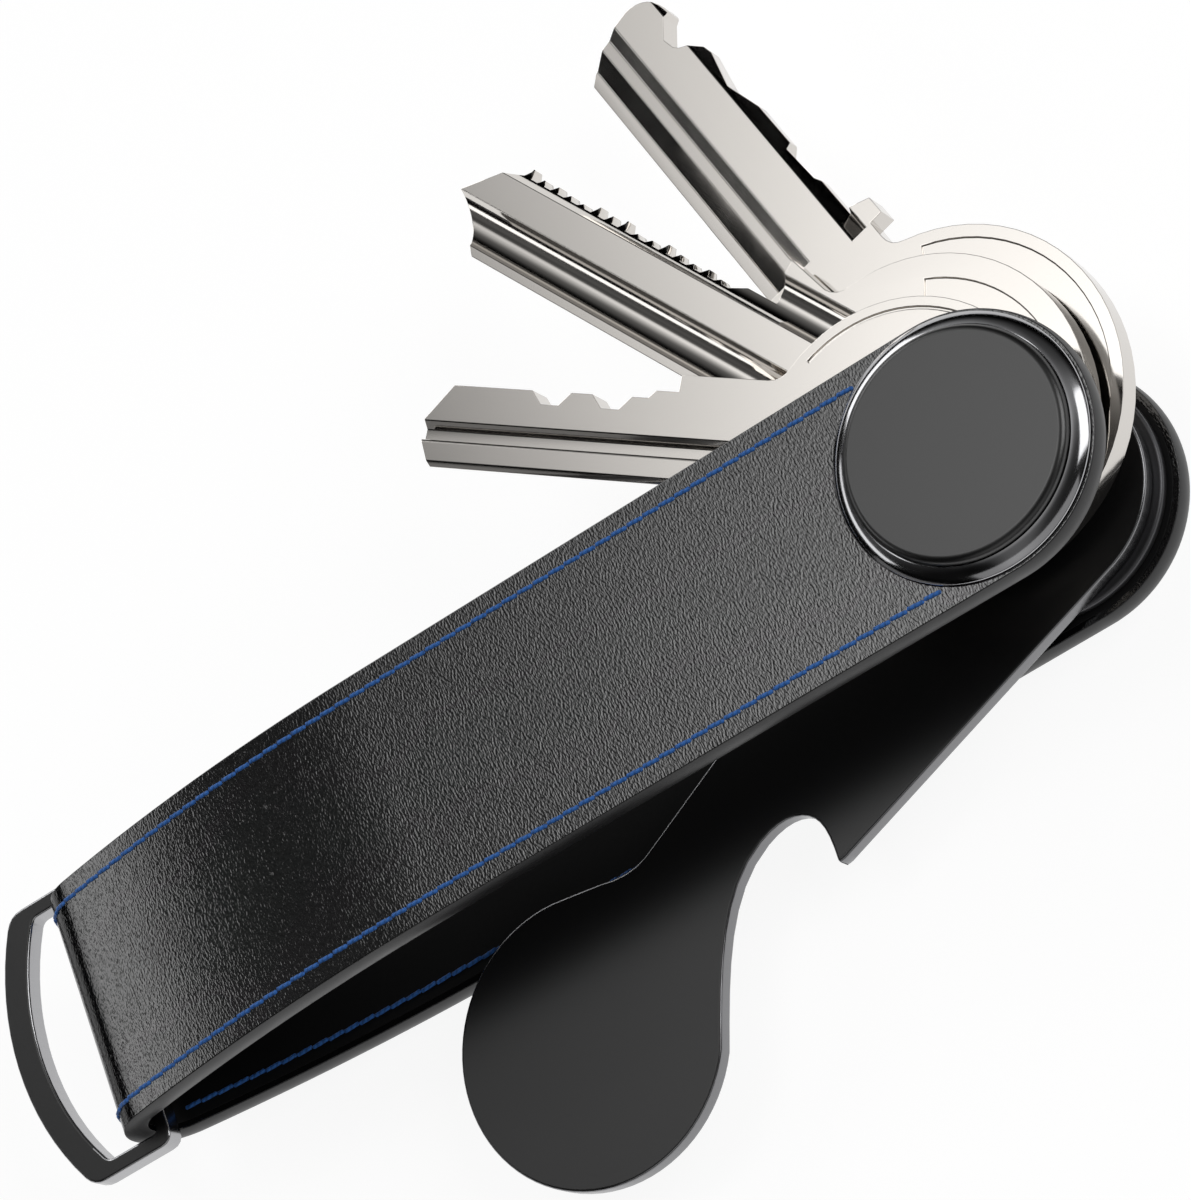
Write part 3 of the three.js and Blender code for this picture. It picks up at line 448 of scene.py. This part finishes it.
def grained_leather():
    """Drum-dyed cowhide with a printed wrinkle grain: black, with a satin sheen that the grain breaks up."""
    material, tree, shader = new_material(
        "Grained cowhide", colours().leather, Roughness=0.12, Specular_IOR_Level=1, IOR=1.6)
    place = add_node(tree, "ShaderNodeTexCoord").outputs["Object"]
    width = sizes().grain
    # Wrinkles run across the strap, twice as long as they are wide
    stretched = add_node(
        tree, "ShaderNodeMapping",
        {"vector_type": "TEXTURE", "Scale": (width, 2.1 * width, width),
         "Rotation": (0, 0, math.radians(6))},
        Vector=place)
    wrinkle = add_node(
        tree, "ShaderNodeTexNoise", {"Scale": 1, "Detail": 1, "Roughness": 0.35, "Distortion": 0.2},
        Vector=stretched.outputs["Vector"])
    ridge = add_node(
        tree, "ShaderNodeMapRange", {"From Min": 0.3, "From Max": 0.7}, Value=wrinkle.outputs["Fac"])
    patch = add_node(tree, "ShaderNodeTexNoise", {"Scale": 1 / (9 * MM), "Detail": 2}, Vector=place)
    dark_tone_and_groove_shade = [c * 0.7 for c in colours().leather]
    colour = add_node(
        tree, "ShaderNodeValToRGB", {"stops": ((0.3, dark_tone_and_groove_shade), (0.7, colours().leather))},
        Fac=patch.outputs["Fac"])
    tree.links.new(colour.outputs["Color"], shader.inputs["Base Color"])
    rough = add_node(
        tree, "ShaderNodeMapRange", {"To Min": 0.15, "To Max": 0.1}, Value=ridge.outputs["Result"])
    tree.links.new(rough.outputs["Result"], shader.inputs["Roughness"])
    # Painted shade: the sheen is turned down by place where the strap turns over the ring's bar, to darken
    # the fold's roll
    sheen_shaded_to, whole = STRAP_LOW.x + 2.3 * MM, STRAP_LOW.x + 4.4 * MM
    along = add_node(tree, "ShaderNodeSeparateXYZ", Vector=place).outputs["X"]
    sheen = add_node(
        tree, "ShaderNodeMapRange", {"From Min": sheen_shaded_to, "From Max": whole, "To Min": 0.1, "To Max": 1},
        Value=along)
    tree.links.new(sheen.outputs["Result"], shader.inputs["Specular IOR Level"])
    bump = add_node(
        tree, "ShaderNodeBump", {"Strength": 1, "Distance": 0.01 * MM}, Height=ridge.outputs["Result"])
    tree.links.new(bump.outputs["Normal"], shader.inputs["Normal"])
    return material


def edge_paint():
    """Leather edge paint, burnished by hand: a smooth, slightly uneven satin black."""
    material, tree, shader = new_material(
        "Burnished edge paint", colours().edge_paint, Roughness=0.42, Specular_IOR_Level=0.55)
    place = add_node(tree, "ShaderNodeTexCoord").outputs["Object"]
    wave = add_node(tree, "ShaderNodeTexNoise", {"Scale": 1 / (2.5 * MM), "Detail": 3}, Vector=place)
    rough = add_node(tree, "ShaderNodeMapRange", {"To Min": 0.34, "To Max": 0.5}, Value=wave.outputs["Fac"])
    tree.links.new(rough.outputs["Result"], shader.inputs["Roughness"])
    bump = add_node(
        tree, "ShaderNodeBump", {"Strength": 0.25, "Distance": 0.06 * MM}, Height=wave.outputs["Fac"])
    tree.links.new(bump.outputs["Normal"], shader.inputs["Normal"])
    return material


def lining_leather():
    """Smooth split leather: deep black, nearly matt, with a faint nap."""
    material, tree, shader = new_material(
        "Smooth lining leather", colours().lining, Roughness=0.6, Specular_IOR_Level=0.35)
    place = add_node(tree, "ShaderNodeTexCoord").outputs["Object"]
    nap = add_node(tree, "ShaderNodeTexNoise", {"Scale": 1 / (0.35 * MM), "Detail": 4}, Vector=place)
    rough = add_node(tree, "ShaderNodeMapRange", {"To Min": 0.5, "To Max": 0.7}, Value=nap.outputs["Fac"])
    tree.links.new(rough.outputs["Result"], shader.inputs["Roughness"])
    bump = add_node(
        tree, "ShaderNodeBump", {"Strength": 0.2, "Distance": 0.03 * MM}, Height=nap.outputs["Fac"])
    tree.links.new(bump.outputs["Normal"], shader.inputs["Normal"])
    return material


class KEYCASE_OT_strap(bpy.types.Operator):
    """Make the grained leather strap with its painted edge, and the lining inside it"""

    bl_idname = "keycase.strap"
    bl_label = "Strap and lining"

    def execute(self, context):
        rounding = sizes().edge_round
        crown = sizes().edge_crown
        wrap = sizes().edge_wrap
        paint = edge_paint()
        # The crown's arc runs on into the two corners
        swing = math.asin((WALL / 2 - rounding) / (crown - rounding))
        across = HALF_WIDTH - crown + (crown - rounding) * math.cos(swing)
        turn = math.degrees(swing)
        leather = sweep_strap("grained_strap", [
            (0, 0), *corner(across, rounding, rounding, -90, -turn),
            *corner(HALF_WIDTH - crown, WALL / 2, crown, -turn, turn, 8)[1:-1],
            *corner(across, WALL - rounding, rounding, turn, 90),
            (HALF_WIDTH - 2 * wrap, WALL), (HALF_WIDTH - 2 * wrap, LEATHER_DEPTH), (0, LEATHER_DEPTH)])
        paint_faces(leather, 1, lambda face: edge_distance(face.center) < HALF_WIDTH - across - rounding / 2)
        place_piece(leather, "case", "leather", [grained_leather(), paint], "leather_strap")
        # The lining lies in the leather with a little room all round
        room = 0.01 * MM
        inner = HALF_WIDTH - 2 * wrap - 2 * room
        back = LEATHER_DEPTH + room
        soft = rounding / 2
        lining = sweep_strap("smooth_lining", [
            (0, back), (inner, back), *corner(inner - soft, WALL - soft, soft, 0, 90), (0, WALL)])
        place_piece(lining, "case", "lining", [lining_leather()], "strap_lining")
        return {"FINISHED"}


# Stitching


def sewing_thread():
    """Bonded polyester thread of twisted plies: a soft sheen, with painted shade where the plies meet."""
    material, tree, shader = new_material(
        "Bonded polyester thread", colours().thread, Roughness=0.55, Sheen_Weight=0.25)
    place = add_node(tree, "ShaderNodeTexCoord").outputs["Object"]
    turned = add_node(tree, "ShaderNodeMapping", {"Rotation": (0, 0, math.radians(35))}, Vector=place)
    # A ply is a tenth of a millimetre, and is drawn twice as wide so that it shows
    plies = add_node(
        tree, "ShaderNodeTexWave", {"Scale": 1 / (0.22 * MM) / math.tau, "Distortion": 1.5, "Detail": 1},
        Vector=turned.outputs["Vector"])
    # Painted shade: the thread's colour darkens in the grooves between the plies
    dark_tone_and_groove_shade = [c * 0.6 for c in colours().thread]
    shade = add_node(
        tree, "ShaderNodeValToRGB", {"stops": ((0, dark_tone_and_groove_shade), (0.5, colours().thread))},
        Fac=plies.outputs["Fac"])
    tree.links.new(shade.outputs["Color"], shader.inputs["Base Color"])
    bump = add_node(
        tree, "ShaderNodeBump", {"Strength": 0.6, "Distance": 0.05 * MM}, Height=plies.outputs["Fac"])
    tree.links.new(bump.outputs["Normal"], shader.inputs["Normal"])
    return material


def model_stitch():
    """One stitch along X: a slim rounded length of thread whose ends dip into their holes."""
    clear_selection()
    bpy.ops.mesh.primitive_uv_sphere_add(segments=8, ring_count=8, radius=0.5, rotation=(0, math.pi / 2, 0))
    stitch = bpy.context.object
    bpy.ops.object.transform_apply()
    bpy.ops.object.mode_set(mode="EDIT")
    thread = sizes().thread_width
    length = sizes().stitch_length
    # The ring halfway to each end is widened, so that the thread keeps its width along the stitch
    select_in_edit(stitch, lambda co: 0.2 < abs(co.x) < 0.45)
    bpy.ops.transform.resize(value=(1, 1.35, 1.35))
    bpy.ops.mesh.select_all(action="SELECT")
    bpy.ops.transform.resize(value=(length, thread, thread))
    select_in_edit(stitch, lambda co: abs(co.x) > 0.42 * length)
    bpy.ops.transform.translate(value=(0, 0, -0.3 * thread))
    bpy.ops.object.mode_set(mode="OBJECT")
    bpy.ops.object.shade_smooth()
    return stitch


class KEYCASE_OT_stitching(bpy.types.Operator):
    """Sew both edges of the strap, stitch by stitch, outside and inside"""

    bl_idname = "keycase.stitching"
    bl_label = "Edge stitching"

    def execute(self, context):
        stitch = model_stitch()
        thread = sewing_thread()
        # A row reaches a little past either end of the solid that it stands for
        past = 0.5 * MM
        start = -STITCH_END - past + sizes().stitch_length / 2
        row_length = STRAP_LENGTH - 2 * start
        count = round(row_length / sizes().stitch_pitch)
        pitch = row_length / count
        sunk = 0.02 * MM
        # There is no room for stitches inside the fold
        fold_start = FLAT_REACH + BEND_ANGLE * BEND_RADIUS
        for name, line, node in (
            ("upper_stitches", STITCH_LINE, "upper_edge_stitching"),
            ("lower_stitches", -STITCH_LINE, "lower_edge_stitching"),
        ):
            copies = []
            for number in range(count + 1):
                distance = start + number * pitch
                place, along, outwards = strap_place(distance, sunk)
                copies.append(self.copy_stitch(stitch, place, along, outwards, line))
                if not fold_start < distance < STRAP_LENGTH - fold_start:
                    place, along, outwards = strap_place(distance, WALL - sunk)
                    copies.append(self.copy_stitch(stitch, place, along, -outwards, line))
            clear_selection()
            for copy in copies:
                copy.select_set(True)
            bpy.context.view_layer.objects.active = copies[0]
            bpy.ops.object.join()
            row = bpy.context.object
            row.name = row.data.name = name
            place_piece(row, "case", "thread", [thread], node)
        bpy.data.objects.remove(stitch)
        return {"FINISHED"}

    def copy_stitch(self, stitch, place, along, outwards, line):
        """A stitch of its own, laid along the strap at its row and slanted."""
        copy = bpy.data.objects.new("stitch", stitch.data.copy())
        bpy.context.scene.collection.objects.link(copy)
        across = outwards.cross(along)
        axes = Matrix((along, across, outwards)).transposed().to_4x4()
        slant = Matrix.Rotation(sizes().stitch_slant * (1 if across.y > 0 else -1), 4, "Z")
        copy.data.transform(Matrix.Translation(place + Vector((0, line, 0))) @ axes @ slant)
        return copy


# Caps, badges and what turns on the post


def dark_chrome():
    """Dark chrome plate over a turned ring: a crisp, slightly smoky mirror."""
    material, tree, shader = new_material(
        "Dark chrome plate", colours().bezel, Metallic=1, Roughness=0.16)
    place = add_node(tree, "ShaderNodeTexCoord").outputs["Object"]
    haze = add_node(tree, "ShaderNodeTexNoise", {"Scale": 1 / (1.5 * MM), "Detail": 4}, Vector=place)
    rough = add_node(tree, "ShaderNodeMapRange", {"To Min": 0.08, "To Max": 0.18}, Value=haze.outputs["Fac"])
    tree.links.new(rough.outputs["Result"], shader.inputs["Roughness"])
    return material


def anodised_badge():
    """Bead-blasted, anodised aluminium: an even, fine-grained satin grey."""
    material, tree, shader = new_material(
        "Anodised aluminium", colours().badge, Metallic=1, Roughness=0.3)
    place = add_node(tree, "ShaderNodeTexCoord").outputs["Object"]
    # The blasted grit is about 0.05 mm, and is drawn twice as coarse so that it shows
    grit = add_node(tree, "ShaderNodeTexNoise", {"Scale": 1 / (0.1 * MM), "Detail": 2}, Vector=place)
    bump = add_node(
        tree, "ShaderNodeBump", {"Strength": 0.12, "Distance": 0.02 * MM}, Height=grit.outputs["Fac"])
    tree.links.new(bump.outputs["Normal"], shader.inputs["Normal"])
    rough = add_node(tree, "ShaderNodeMapRange", {"To Min": 0.26, "To Max": 0.36}, Value=grit.outputs["Fac"])
    tree.links.new(rough.outputs["Result"], shader.inputs["Roughness"])
    return material


def gunmetal():
    """Gunmetal-plated brass: dark, with a soft metallic glow."""
    material, tree, shader = new_material("Gunmetal plate", colours().collar, Metallic=0.85, Roughness=0.38)
    place = add_node(tree, "ShaderNodeTexCoord").outputs["Object"]
    haze = add_node(tree, "ShaderNodeTexNoise", {"Scale": 1 / (0.8 * MM), "Detail": 3}, Vector=place)
    rough = add_node(tree, "ShaderNodeMapRange", {"To Min": 0.3, "To Max": 0.46}, Value=haze.outputs["Fac"])
    tree.links.new(rough.outputs["Result"], shader.inputs["Roughness"])
    return material


def turned_steel():
    """Turned steel: bright, with fine rings left by the tool."""
    material, tree, shader = new_material("Turned steel", linear(0xB4B5B8), Metallic=1, Roughness=0.3)
    place = add_node(tree, "ShaderNodeTexCoord").outputs["Object"]
    # Tool rings are about 0.1 mm apart
    rings = add_node(
        tree, "ShaderNodeTexWave",
        {"wave_type": "RINGS", "rings_direction": "Z", "Scale": 1 / (0.1 * MM) / math.tau}, Vector=place)
    bump = add_node(
        tree, "ShaderNodeBump", {"Strength": 0.15, "Distance": 0.01 * MM}, Height=rings.outputs["Fac"])
    tree.links.new(bump.outputs["Normal"], shader.inputs["Normal"])
    return material


def black_nylon():
    """Moulded nylon: black, with a dull waxy sheen."""
    material, tree, shader = new_material("Moulded nylon", linear(0x1D1D1F), Roughness=0.5)
    place = add_node(tree, "ShaderNodeTexCoord").outputs["Object"]
    skin = add_node(tree, "ShaderNodeTexNoise", {"Scale": 1 / (0.3 * MM), "Detail": 2}, Vector=place)
    bump = add_node(
        tree, "ShaderNodeBump", {"Strength": 0.15, "Distance": 0.02 * MM}, Height=skin.outputs["Fac"])
    tree.links.new(bump.outputs["Normal"], shader.inputs["Normal"])
    return material


def at_end(profile, face, up):
    """A profile of (radius, height over the leather), set on the front or the rear face of the strap."""
    return [(radius, face + up * height) for radius, height in profile]


class KEYCASE_OT_caps(bpy.types.Operator):
    """Turn the two dark chrome caps and the anodised discs set in them"""

    bl_idname = "keycase.caps"
    bl_label = "Caps and badges"

    def execute(self, context):
        chrome = dark_chrome()
        anodised = anodised_badge()
        for end, face, up, cap_body, badge_body in (
            ("front", FRONT_FACE, 1, "case", "case"),
            ("rear", REAR_FACE, -1, "rear_cap", "post_screw"),
        ):
            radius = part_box(f"{end}_cap")[1].y
            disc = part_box(f"{end}_badge")[1].y
            cap = turn_on_post(f"{end}_bezel", at_end(self.cap_profile(radius), face, up))
            smooth(cap, 40)
            place_piece(cap, cap_body, "bezel", [chrome], f"{end}_cap")
            badge = turn_on_post(f"{end}_disc", at_end(self.badge_profile(disc), face, up))
            if end == "rear":
                for side in (-1, 1):
                    hole = (side * SPANNER_REACH, 0, face - BADGE_FACE)
                    punch(badge, hole, SPANNER_RADIUS, 2 * SPANNER_DEPTH)
            smooth(badge, 40)
            place_piece(badge, badge_body, "badge", [anodised], f"{end}_badge")
        return {"FINISHED"}

    def cap_profile(self, radius):
        """A crowned rim that falls away from the disc and rolls over into a low wall."""
        seat = radius - CAP_RIM_WIDTH
        lean = math.radians(CAP_LEAN)
        # The crown's arc leans by the one angle at the disc and by the other at the outer edge
        rim = corner(
            seat - CAP_CROWN * math.sin(lean), CAP_RIM_HEIGHT - CAP_CROWN * math.cos(lean), CAP_CROWN,
            90 - CAP_FALL, 90 - CAP_LEAN, ROLL_STEPS)
        wall = corner(radius - 0.12 * MM, CAP_FOOT + 0.12 * MM, CAP_WALL_ROUND, -60, 20, 4)
        return [
            (HOLE_RADIUS, CAP_FOOT), (radius - 0.16 * MM, CAP_FOOT), *wall, *rim,
            (seat, CAP_SEAT), (HOLE_RADIUS, CAP_SEAT), (HOLE_RADIUS, CAP_FOOT)]

    def badge_profile(self, radius):
        """A disc whose edge rolls down to its seat, hollow underneath for the flange."""
        roll = corner(radius - BADGE_ROLL, BADGE_FACE - BADGE_ROLL, BADGE_ROLL, 8, 90, ROLL_STEPS)
        return [
            (0, BADGE_HOLLOW_TOP), (BADGE_HOLLOW, BADGE_HOLLOW_TOP), (BADGE_HOLLOW, BADGE_FOOT),
            (radius, BADGE_FOOT), *roll, (0, BADGE_FACE)]


class KEYCASE_OT_stack(bpy.types.Operator):
    """Turn the post and the collars, washers and spacer that are stacked on it"""

    bl_idname = "keycase.stack"
    bl_label = "Post and stack"

    def execute(self, context):
        metal = gunmetal()
        steel = turned_steel()
        nylon = black_nylon()
        for node, slot, material, rounding in (
            ("rear_collar", "collar", metal, 0.3), ("front_collar", "collar", metal, 0.2),
            ("opener_spacer", "nylon", nylon, 0.15), ("upper_washer", "nylon", nylon, 0.1),
            ("lower_washer", "nylon", nylon, 0.1),
        ):
            low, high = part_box(node)
            soft = rounding * MM
            edge = high.y - soft
            piece = turn_on_post(f"turned_{node}", [
                (HOLE_RADIUS, low.z), *corner(edge, low.z + soft, soft, -90, 0),
                *corner(edge, high.z - soft, soft, 0, 90), (HOLE_RADIUS, high.z), (HOLE_RADIUS, low.z)])
            smooth(piece)
            place_piece(piece, "case", slot, [material], node)
        for node, body, face, up, profile in (
            ("post_barrel", "case", FRONT_FACE, 1, self.barrel_profile()),
            ("post_screw", "post_screw", REAR_FACE, -1, self.screw_profile()),
        ):
            piece = turn_on_post(f"turned_{node}", at_end(profile, face, up))
            use_modifier(
                piece, "BEVEL", width=POST_EDGE, segments=2, limit_method="ANGLE", use_clamp_overlap=False)
            smooth(piece)
            place_piece(piece, body, "post", [steel], node)
        return {"FINISHED"}

    def barrel_profile(self):
        """A flange over a barrel with a blind bore."""
        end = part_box("post_barrel")[0].z - FRONT_FACE
        return [
            (BARREL_BORE, end), (BARREL_RADIUS, end), (BARREL_RADIUS, FLANGE_FOOT),
            (FLANGE_RADIUS, FLANGE_FOOT), (FLANGE_RADIUS, FLANGE_TOP), (0, FLANGE_TOP),
            (0, BARREL_BORE_END), (BARREL_BORE, BARREL_BORE_END), (BARREL_BORE, end)]

    def screw_profile(self):
        """A flange with a plain shank."""
        end = REAR_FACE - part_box("post_screw")[1].z
        return [
            (0, end), (SCREW_RADIUS, end), (SCREW_RADIUS, FLANGE_FOOT), (FLANGE_RADIUS, FLANGE_FOOT),
            (FLANGE_RADIUS, FLANGE_TOP), (0, FLANGE_TOP)]


# Keys


def nickel_plate():
    """Nickel plate on tumbled brass: a warm, pale mirror, slightly hazed and finely scratched."""
    material, tree, shader = new_material("Nickel plate", colours().nickel, Metallic=1, Roughness=0.12)
    place = add_node(tree, "ShaderNodeTexCoord").outputs["Object"]
    haze = add_node(tree, "ShaderNodeTexNoise", {"Scale": 1 / (4 * MM), "Detail": 4}, Vector=place)
    rough = add_node(tree, "ShaderNodeMapRange", {"To Min": 0.07, "To Max": 0.13}, Value=haze.outputs["Fac"])
    tree.links.new(rough.outputs["Result"], shader.inputs["Roughness"])
    drawn = add_node(
        tree, "ShaderNodeMapping",
        {"Scale": (1 / (3 * MM), 1 / (0.12 * MM), 1 / (0.12 * MM)), "Rotation": (0, 0, math.radians(57))},
        Vector=place)
    scratch = add_node(tree, "ShaderNodeTexNoise", {"Scale": 1, "Detail": 3}, Vector=drawn.outputs["Vector"])
    bump = add_node(
        tree, "ShaderNodeBump", {"Strength": 0.04, "Distance": 0.01 * MM}, Height=scratch.outputs["Fac"])
    tree.links.new(bump.outputs["Normal"], shader.inputs["Normal"])
    return material


class KEYCASE_OT_keys(bpy.types.Operator):
    """Make the three keys from their solids, with rounded edges and nickel plate"""

    bl_idname = "keycase.keys"
    bl_label = "Keys"

    def execute(self, context):
        nickel = nickel_plate()
        for node in ("key_lower", "key_middle", "key_upper"):
            key = copy_of_solid(f"plated_{node}", node)
            use_modifier(
                key, "BEVEL", width=sizes().key_edge, segments=2, limit_method="ANGLE",
                angle_limit=math.radians(25), use_clamp_overlap=False)
            smooth(key, 30)
            place_piece(key, node, "nickel", [nickel], node)
        return {"FINISHED"}


# Opener and ring


def black_steel():
    """Blackened steel: an even satin black with a fine blasted tooth."""
    material, tree, shader = new_material(
        "Blackened steel", colours().black_steel, Roughness=0.36, Specular_IOR_Level=0.66, IOR=1.6)
    place = add_node(tree, "ShaderNodeTexCoord").outputs["Object"]
    # The tooth is about 0.06 mm, and is drawn twice as coarse so that it shows
    tooth = add_node(tree, "ShaderNodeTexNoise", {"Scale": 1 / (0.12 * MM), "Detail": 3}, Vector=place)
    rough = add_node(tree, "ShaderNodeMapRange", {"To Min": 0.3, "To Max": 0.42}, Value=tooth.outputs["Fac"])
    tree.links.new(rough.outputs["Result"], shader.inputs["Roughness"])
    bump = add_node(
        tree, "ShaderNodeBump", {"Strength": 0.1, "Distance": 0.015 * MM}, Height=tooth.outputs["Fac"])
    tree.links.new(bump.outputs["Normal"], shader.inputs["Normal"])
    return material


def bright_steel(name, colour):
    """Cut and polished steel: a bright edge with fine marks through the sheet."""
    material, tree, shader = new_material(name, colour, Metallic=1, Roughness=0.2)
    place = add_node(tree, "ShaderNodeTexCoord").outputs["Object"]
    drawn = add_node(
        tree, "ShaderNodeMapping", {"Scale": (1 / (0.25 * MM), 1 / (0.25 * MM), 1 / (4 * MM))}, Vector=place)
    marks = add_node(tree, "ShaderNodeTexNoise", {"Scale": 1, "Detail": 2}, Vector=drawn.outputs["Vector"])
    rough = add_node(tree, "ShaderNodeMapRange", {"To Min": 0.14, "To Max": 0.3}, Value=marks.outputs["Fac"])
    tree.links.new(rough.outputs["Result"], shader.inputs["Roughness"])
    bump = add_node(
        tree, "ShaderNodeBump", {"Strength": 0.06, "Distance": 0.02 * MM}, Height=marks.outputs["Fac"])
    tree.links.new(bump.outputs["Normal"], shader.inputs["Normal"])
    return material


class KEYCASE_OT_steel(bpy.types.Operator):
    """Make the bottle opener and the D-ring from their solids, black with bright edges"""

    bl_idname = "keycase.steel"
    bl_label = "Opener and D-ring"

    def execute(self, context):
        black = black_steel()
        cut = bright_steel("Cut steel edge", colours().cut_steel)
        polished = bright_steel("Polished steel edge", colours().polished_steel)
        for node, body, bright in (("bottle_opener", "opener", cut), ("d_ring", "d_ring", polished)):
            piece = copy_of_solid(f"black_{node}", node)
            use_modifier(
                piece, "BEVEL", width=sizes().steel_edge, segments=3, limit_method="ANGLE",
                angle_limit=math.radians(50), use_clamp_overlap=False)
            smooth(piece, 30)
            # Bright steel on the walls and lower bevel steps; the top bevel step stays black, a painted dark
            # line, except on the +Y side, where it is bright steel to catch a highlight line
            paint_faces(piece, 1, lambda face: abs(face.normal.z) < 0.85 or face.normal.y > 0.12)
            place_piece(piece, body, "black_steel", [black, bright], node)
        return {"FINISHED"}


# Stage


def white_floor():
    """White paper with light behind it: white where it is looked at, and it still takes a soft shadow."""
    material, tree, shader = new_material(
        "White paper", linear(0x7A7A7A), Roughness=0.9, Specular_IOR_Level=0.1)
    path = add_node(tree, "ShaderNodeLightPath")
    seen = path.outputs["Is Camera Ray"]
    for ray in ("Is Glossy Ray", "Is Transmission Ray"):
        either = add_node(tree, "ShaderNodeMath", {"operation": "MAXIMUM"}, seen, path.outputs[ray])
        seen = either.outputs["Value"]
    glow = add_node(tree, "ShaderNodeMapRange", {"To Max": 0.9}, Value=seen)
    shader.inputs["Emission Color"].default_value = (1, 1, 1, 1)
    tree.links.new(glow.outputs["Result"], shader.inputs["Emission Strength"])
    return material


def studio_world():
    """A dark room with one large softbox overhead whose edges fall off softly, for every glossy surface."""
    world = bpy.data.worlds.new("Studio")
    world.use_nodes = True
    tree = world.node_tree
    direction = add_node(tree, "ShaderNodeTexCoord").outputs["Generated"]
    axes = add_node(tree, "ShaderNodeSeparateXYZ", (), direction).outputs
    # How bright the softbox is from left to right, from front to back and from the horizon up
    falls = {
        "X": ((-0.6, 0.03), (-0.507, 0.02), (-0.456, 0.03), (-0.4, 0.04), (-0.386, 0.07), (-0.365, 0.18),
              (-0.322, 0.425), (-0.287, 0.6), (-0.265, 0.74), (-0.2, 0.85), (-0.1, 0.8), (0, 0.5),
              (0.1, 0.25), (0.3, 0.12), (0.5, 0.1), (1, 0.05)),
        "Y": ((-1, 0.05), (-0.2, 0.06), (0, 0.15), (0.1, 0.3), (0.2, 0.6), (0.28, 0.9), (0.36, 0.82),
              (0.4, 0.657), (0.45, 0.487), (0.5, 0.361), (0.55, 0.268), (0.6, 0.2), (0.8, 0.12),
              (0.93, 0.07)),
        "Z": ((0.1, 0.004), (0.18, 0.02), (0.25, 0.02), (0.37, 0.4), (0.5, 1)),
    }
    level = None
    for axis, stops in falls.items():
        part = add_node(tree, "ShaderNodeMapRange", {"From Min": -1}, axes[axis]).outputs["Result"]
        greys = [((place + 1) / 2, [grey] * 3) for place, grey in stops]
        fall = add_node(tree, "ShaderNodeValToRGB", {"stops": greys}, part).outputs["Color"]
        level = fall if level is None else add_node(
            tree, "ShaderNodeMath", {"operation": "MULTIPLY"}, level, fall).outputs["Value"]
    background = tree.nodes["Background"]
    background.inputs["Strength"].default_value = 4
    tree.links.new(level, background.inputs["Color"])
    return world


class KEYCASE_OT_stage(bpy.types.Operator):
    """Lay the white floor, hang the softboxes and set up the camera"""

    bl_idname = "keycase.stage"
    bl_label = "Floor, light and camera"

    def execute(self, context):
        scene = context.scene
        stage = scene.key_case_stage
        scene.view_settings.view_transform = "Standard"
        clear_selection()
        bpy.ops.mesh.primitive_plane_add(size=FLOOR_SIZE, location=(0, 0, 0))
        floor = context.object
        floor.name = floor.data.name = "floor"
        floor.data.materials.append(white_floor())
        bpy.ops.object.camera_add(location=stage.camera_place, rotation=stage.camera_turn)
        camera = context.object
        camera.data.lens = stage.lens
        camera.data.sensor_width = SENSOR_MM
        camera.data.clip_start = 0.01
        scene.camera = camera
        centre = (CAD_BOX[0] + CAD_BOX[1]) / 2
        for name, direction, wide, high, power in (
            ("right_softbox", (0.819, 0.023, 0.574), 0.7, 0.68, 3.9),
            ("left_softbox", (-0.818, 0.314, 0.482), 0.83, 0.23, 1.0),
            ("back_softbox", (-0.387, 0.794, 0.469), 0.45, 0.55, 1.94),
            ("front_softbox", (0.1, -0.84, 0.53), 2, 0.7, 1.8),
            ("left_fill", (-0.96, -0.26, 0.1), 0.87, 0.25, 0.14),
        ):
            towards = Vector(direction).normalized()
            bpy.ops.object.light_add(type="AREA", location=centre + LAMP_DISTANCE * towards)
            lamp = context.object
            lamp.name = name
            lamp.rotation_euler = towards.to_track_quat("Z", "Y").to_euler()
            lamp.data.shape = "RECTANGLE"
            lamp.data.size = wide
            lamp.data.size_y = high
            lamp.data.energy = power
        scene.world = studio_world()
        return {"FINISHED"}


class KEYCASE_PT_panel(bpy.types.Panel):
    """Sizes, colours and steps of the key case"""

    bl_idname = "KEYCASE_PT_panel"
    bl_label = "Key Case"
    bl_space_type = "VIEW_3D"
    bl_region_type = "UI"
    bl_category = "Key Case"

    def draw(self, context):
        scene = context.scene
        for group in (scene.key_case_sizes, scene.key_case_colours, scene.key_case_stage):
            box = self.layout.box()
            for name in group.__annotations__:
                box.prop(group, name)
        for operator in OPERATORS:
            self.layout.operator(operator.bl_idname)


OPERATORS = (
    KEYCASE_OT_strap, KEYCASE_OT_stitching, KEYCASE_OT_caps, KEYCASE_OT_stack, KEYCASE_OT_keys,
    KEYCASE_OT_steel, KEYCASE_OT_stage)
CLASSES = (KeyCaseSizes, KeyCaseColours, KeyCaseStage, *OPERATORS, KEYCASE_PT_panel)


def register():
    for cls in CLASSES:
        bpy.utils.register_class(cls)
    bpy.types.Scene.key_case_sizes = bpy.props.PointerProperty(type=KeyCaseSizes)
    bpy.types.Scene.key_case_colours = bpy.props.PointerProperty(type=KeyCaseColours)
    bpy.types.Scene.key_case_stage = bpy.props.PointerProperty(type=KeyCaseStage)


def unregister():
    for name in ("key_case_sizes", "key_case_colours", "key_case_stage"):
        delattr(bpy.types.Scene, name)
    for cls in reversed(CLASSES):
        bpy.utils.unregister_class(cls)


def main():
    register()
    bpy.ops.keycase.stage()
    bpy.ops.keycase.strap()
    bpy.ops.keycase.stitching()
    bpy.ops.keycase.caps()
    bpy.ops.keycase.stack()
    bpy.ops.keycase.keys()
    bpy.ops.keycase.steel()
    clear_selection()


if __name__ == "__main__":
    main()
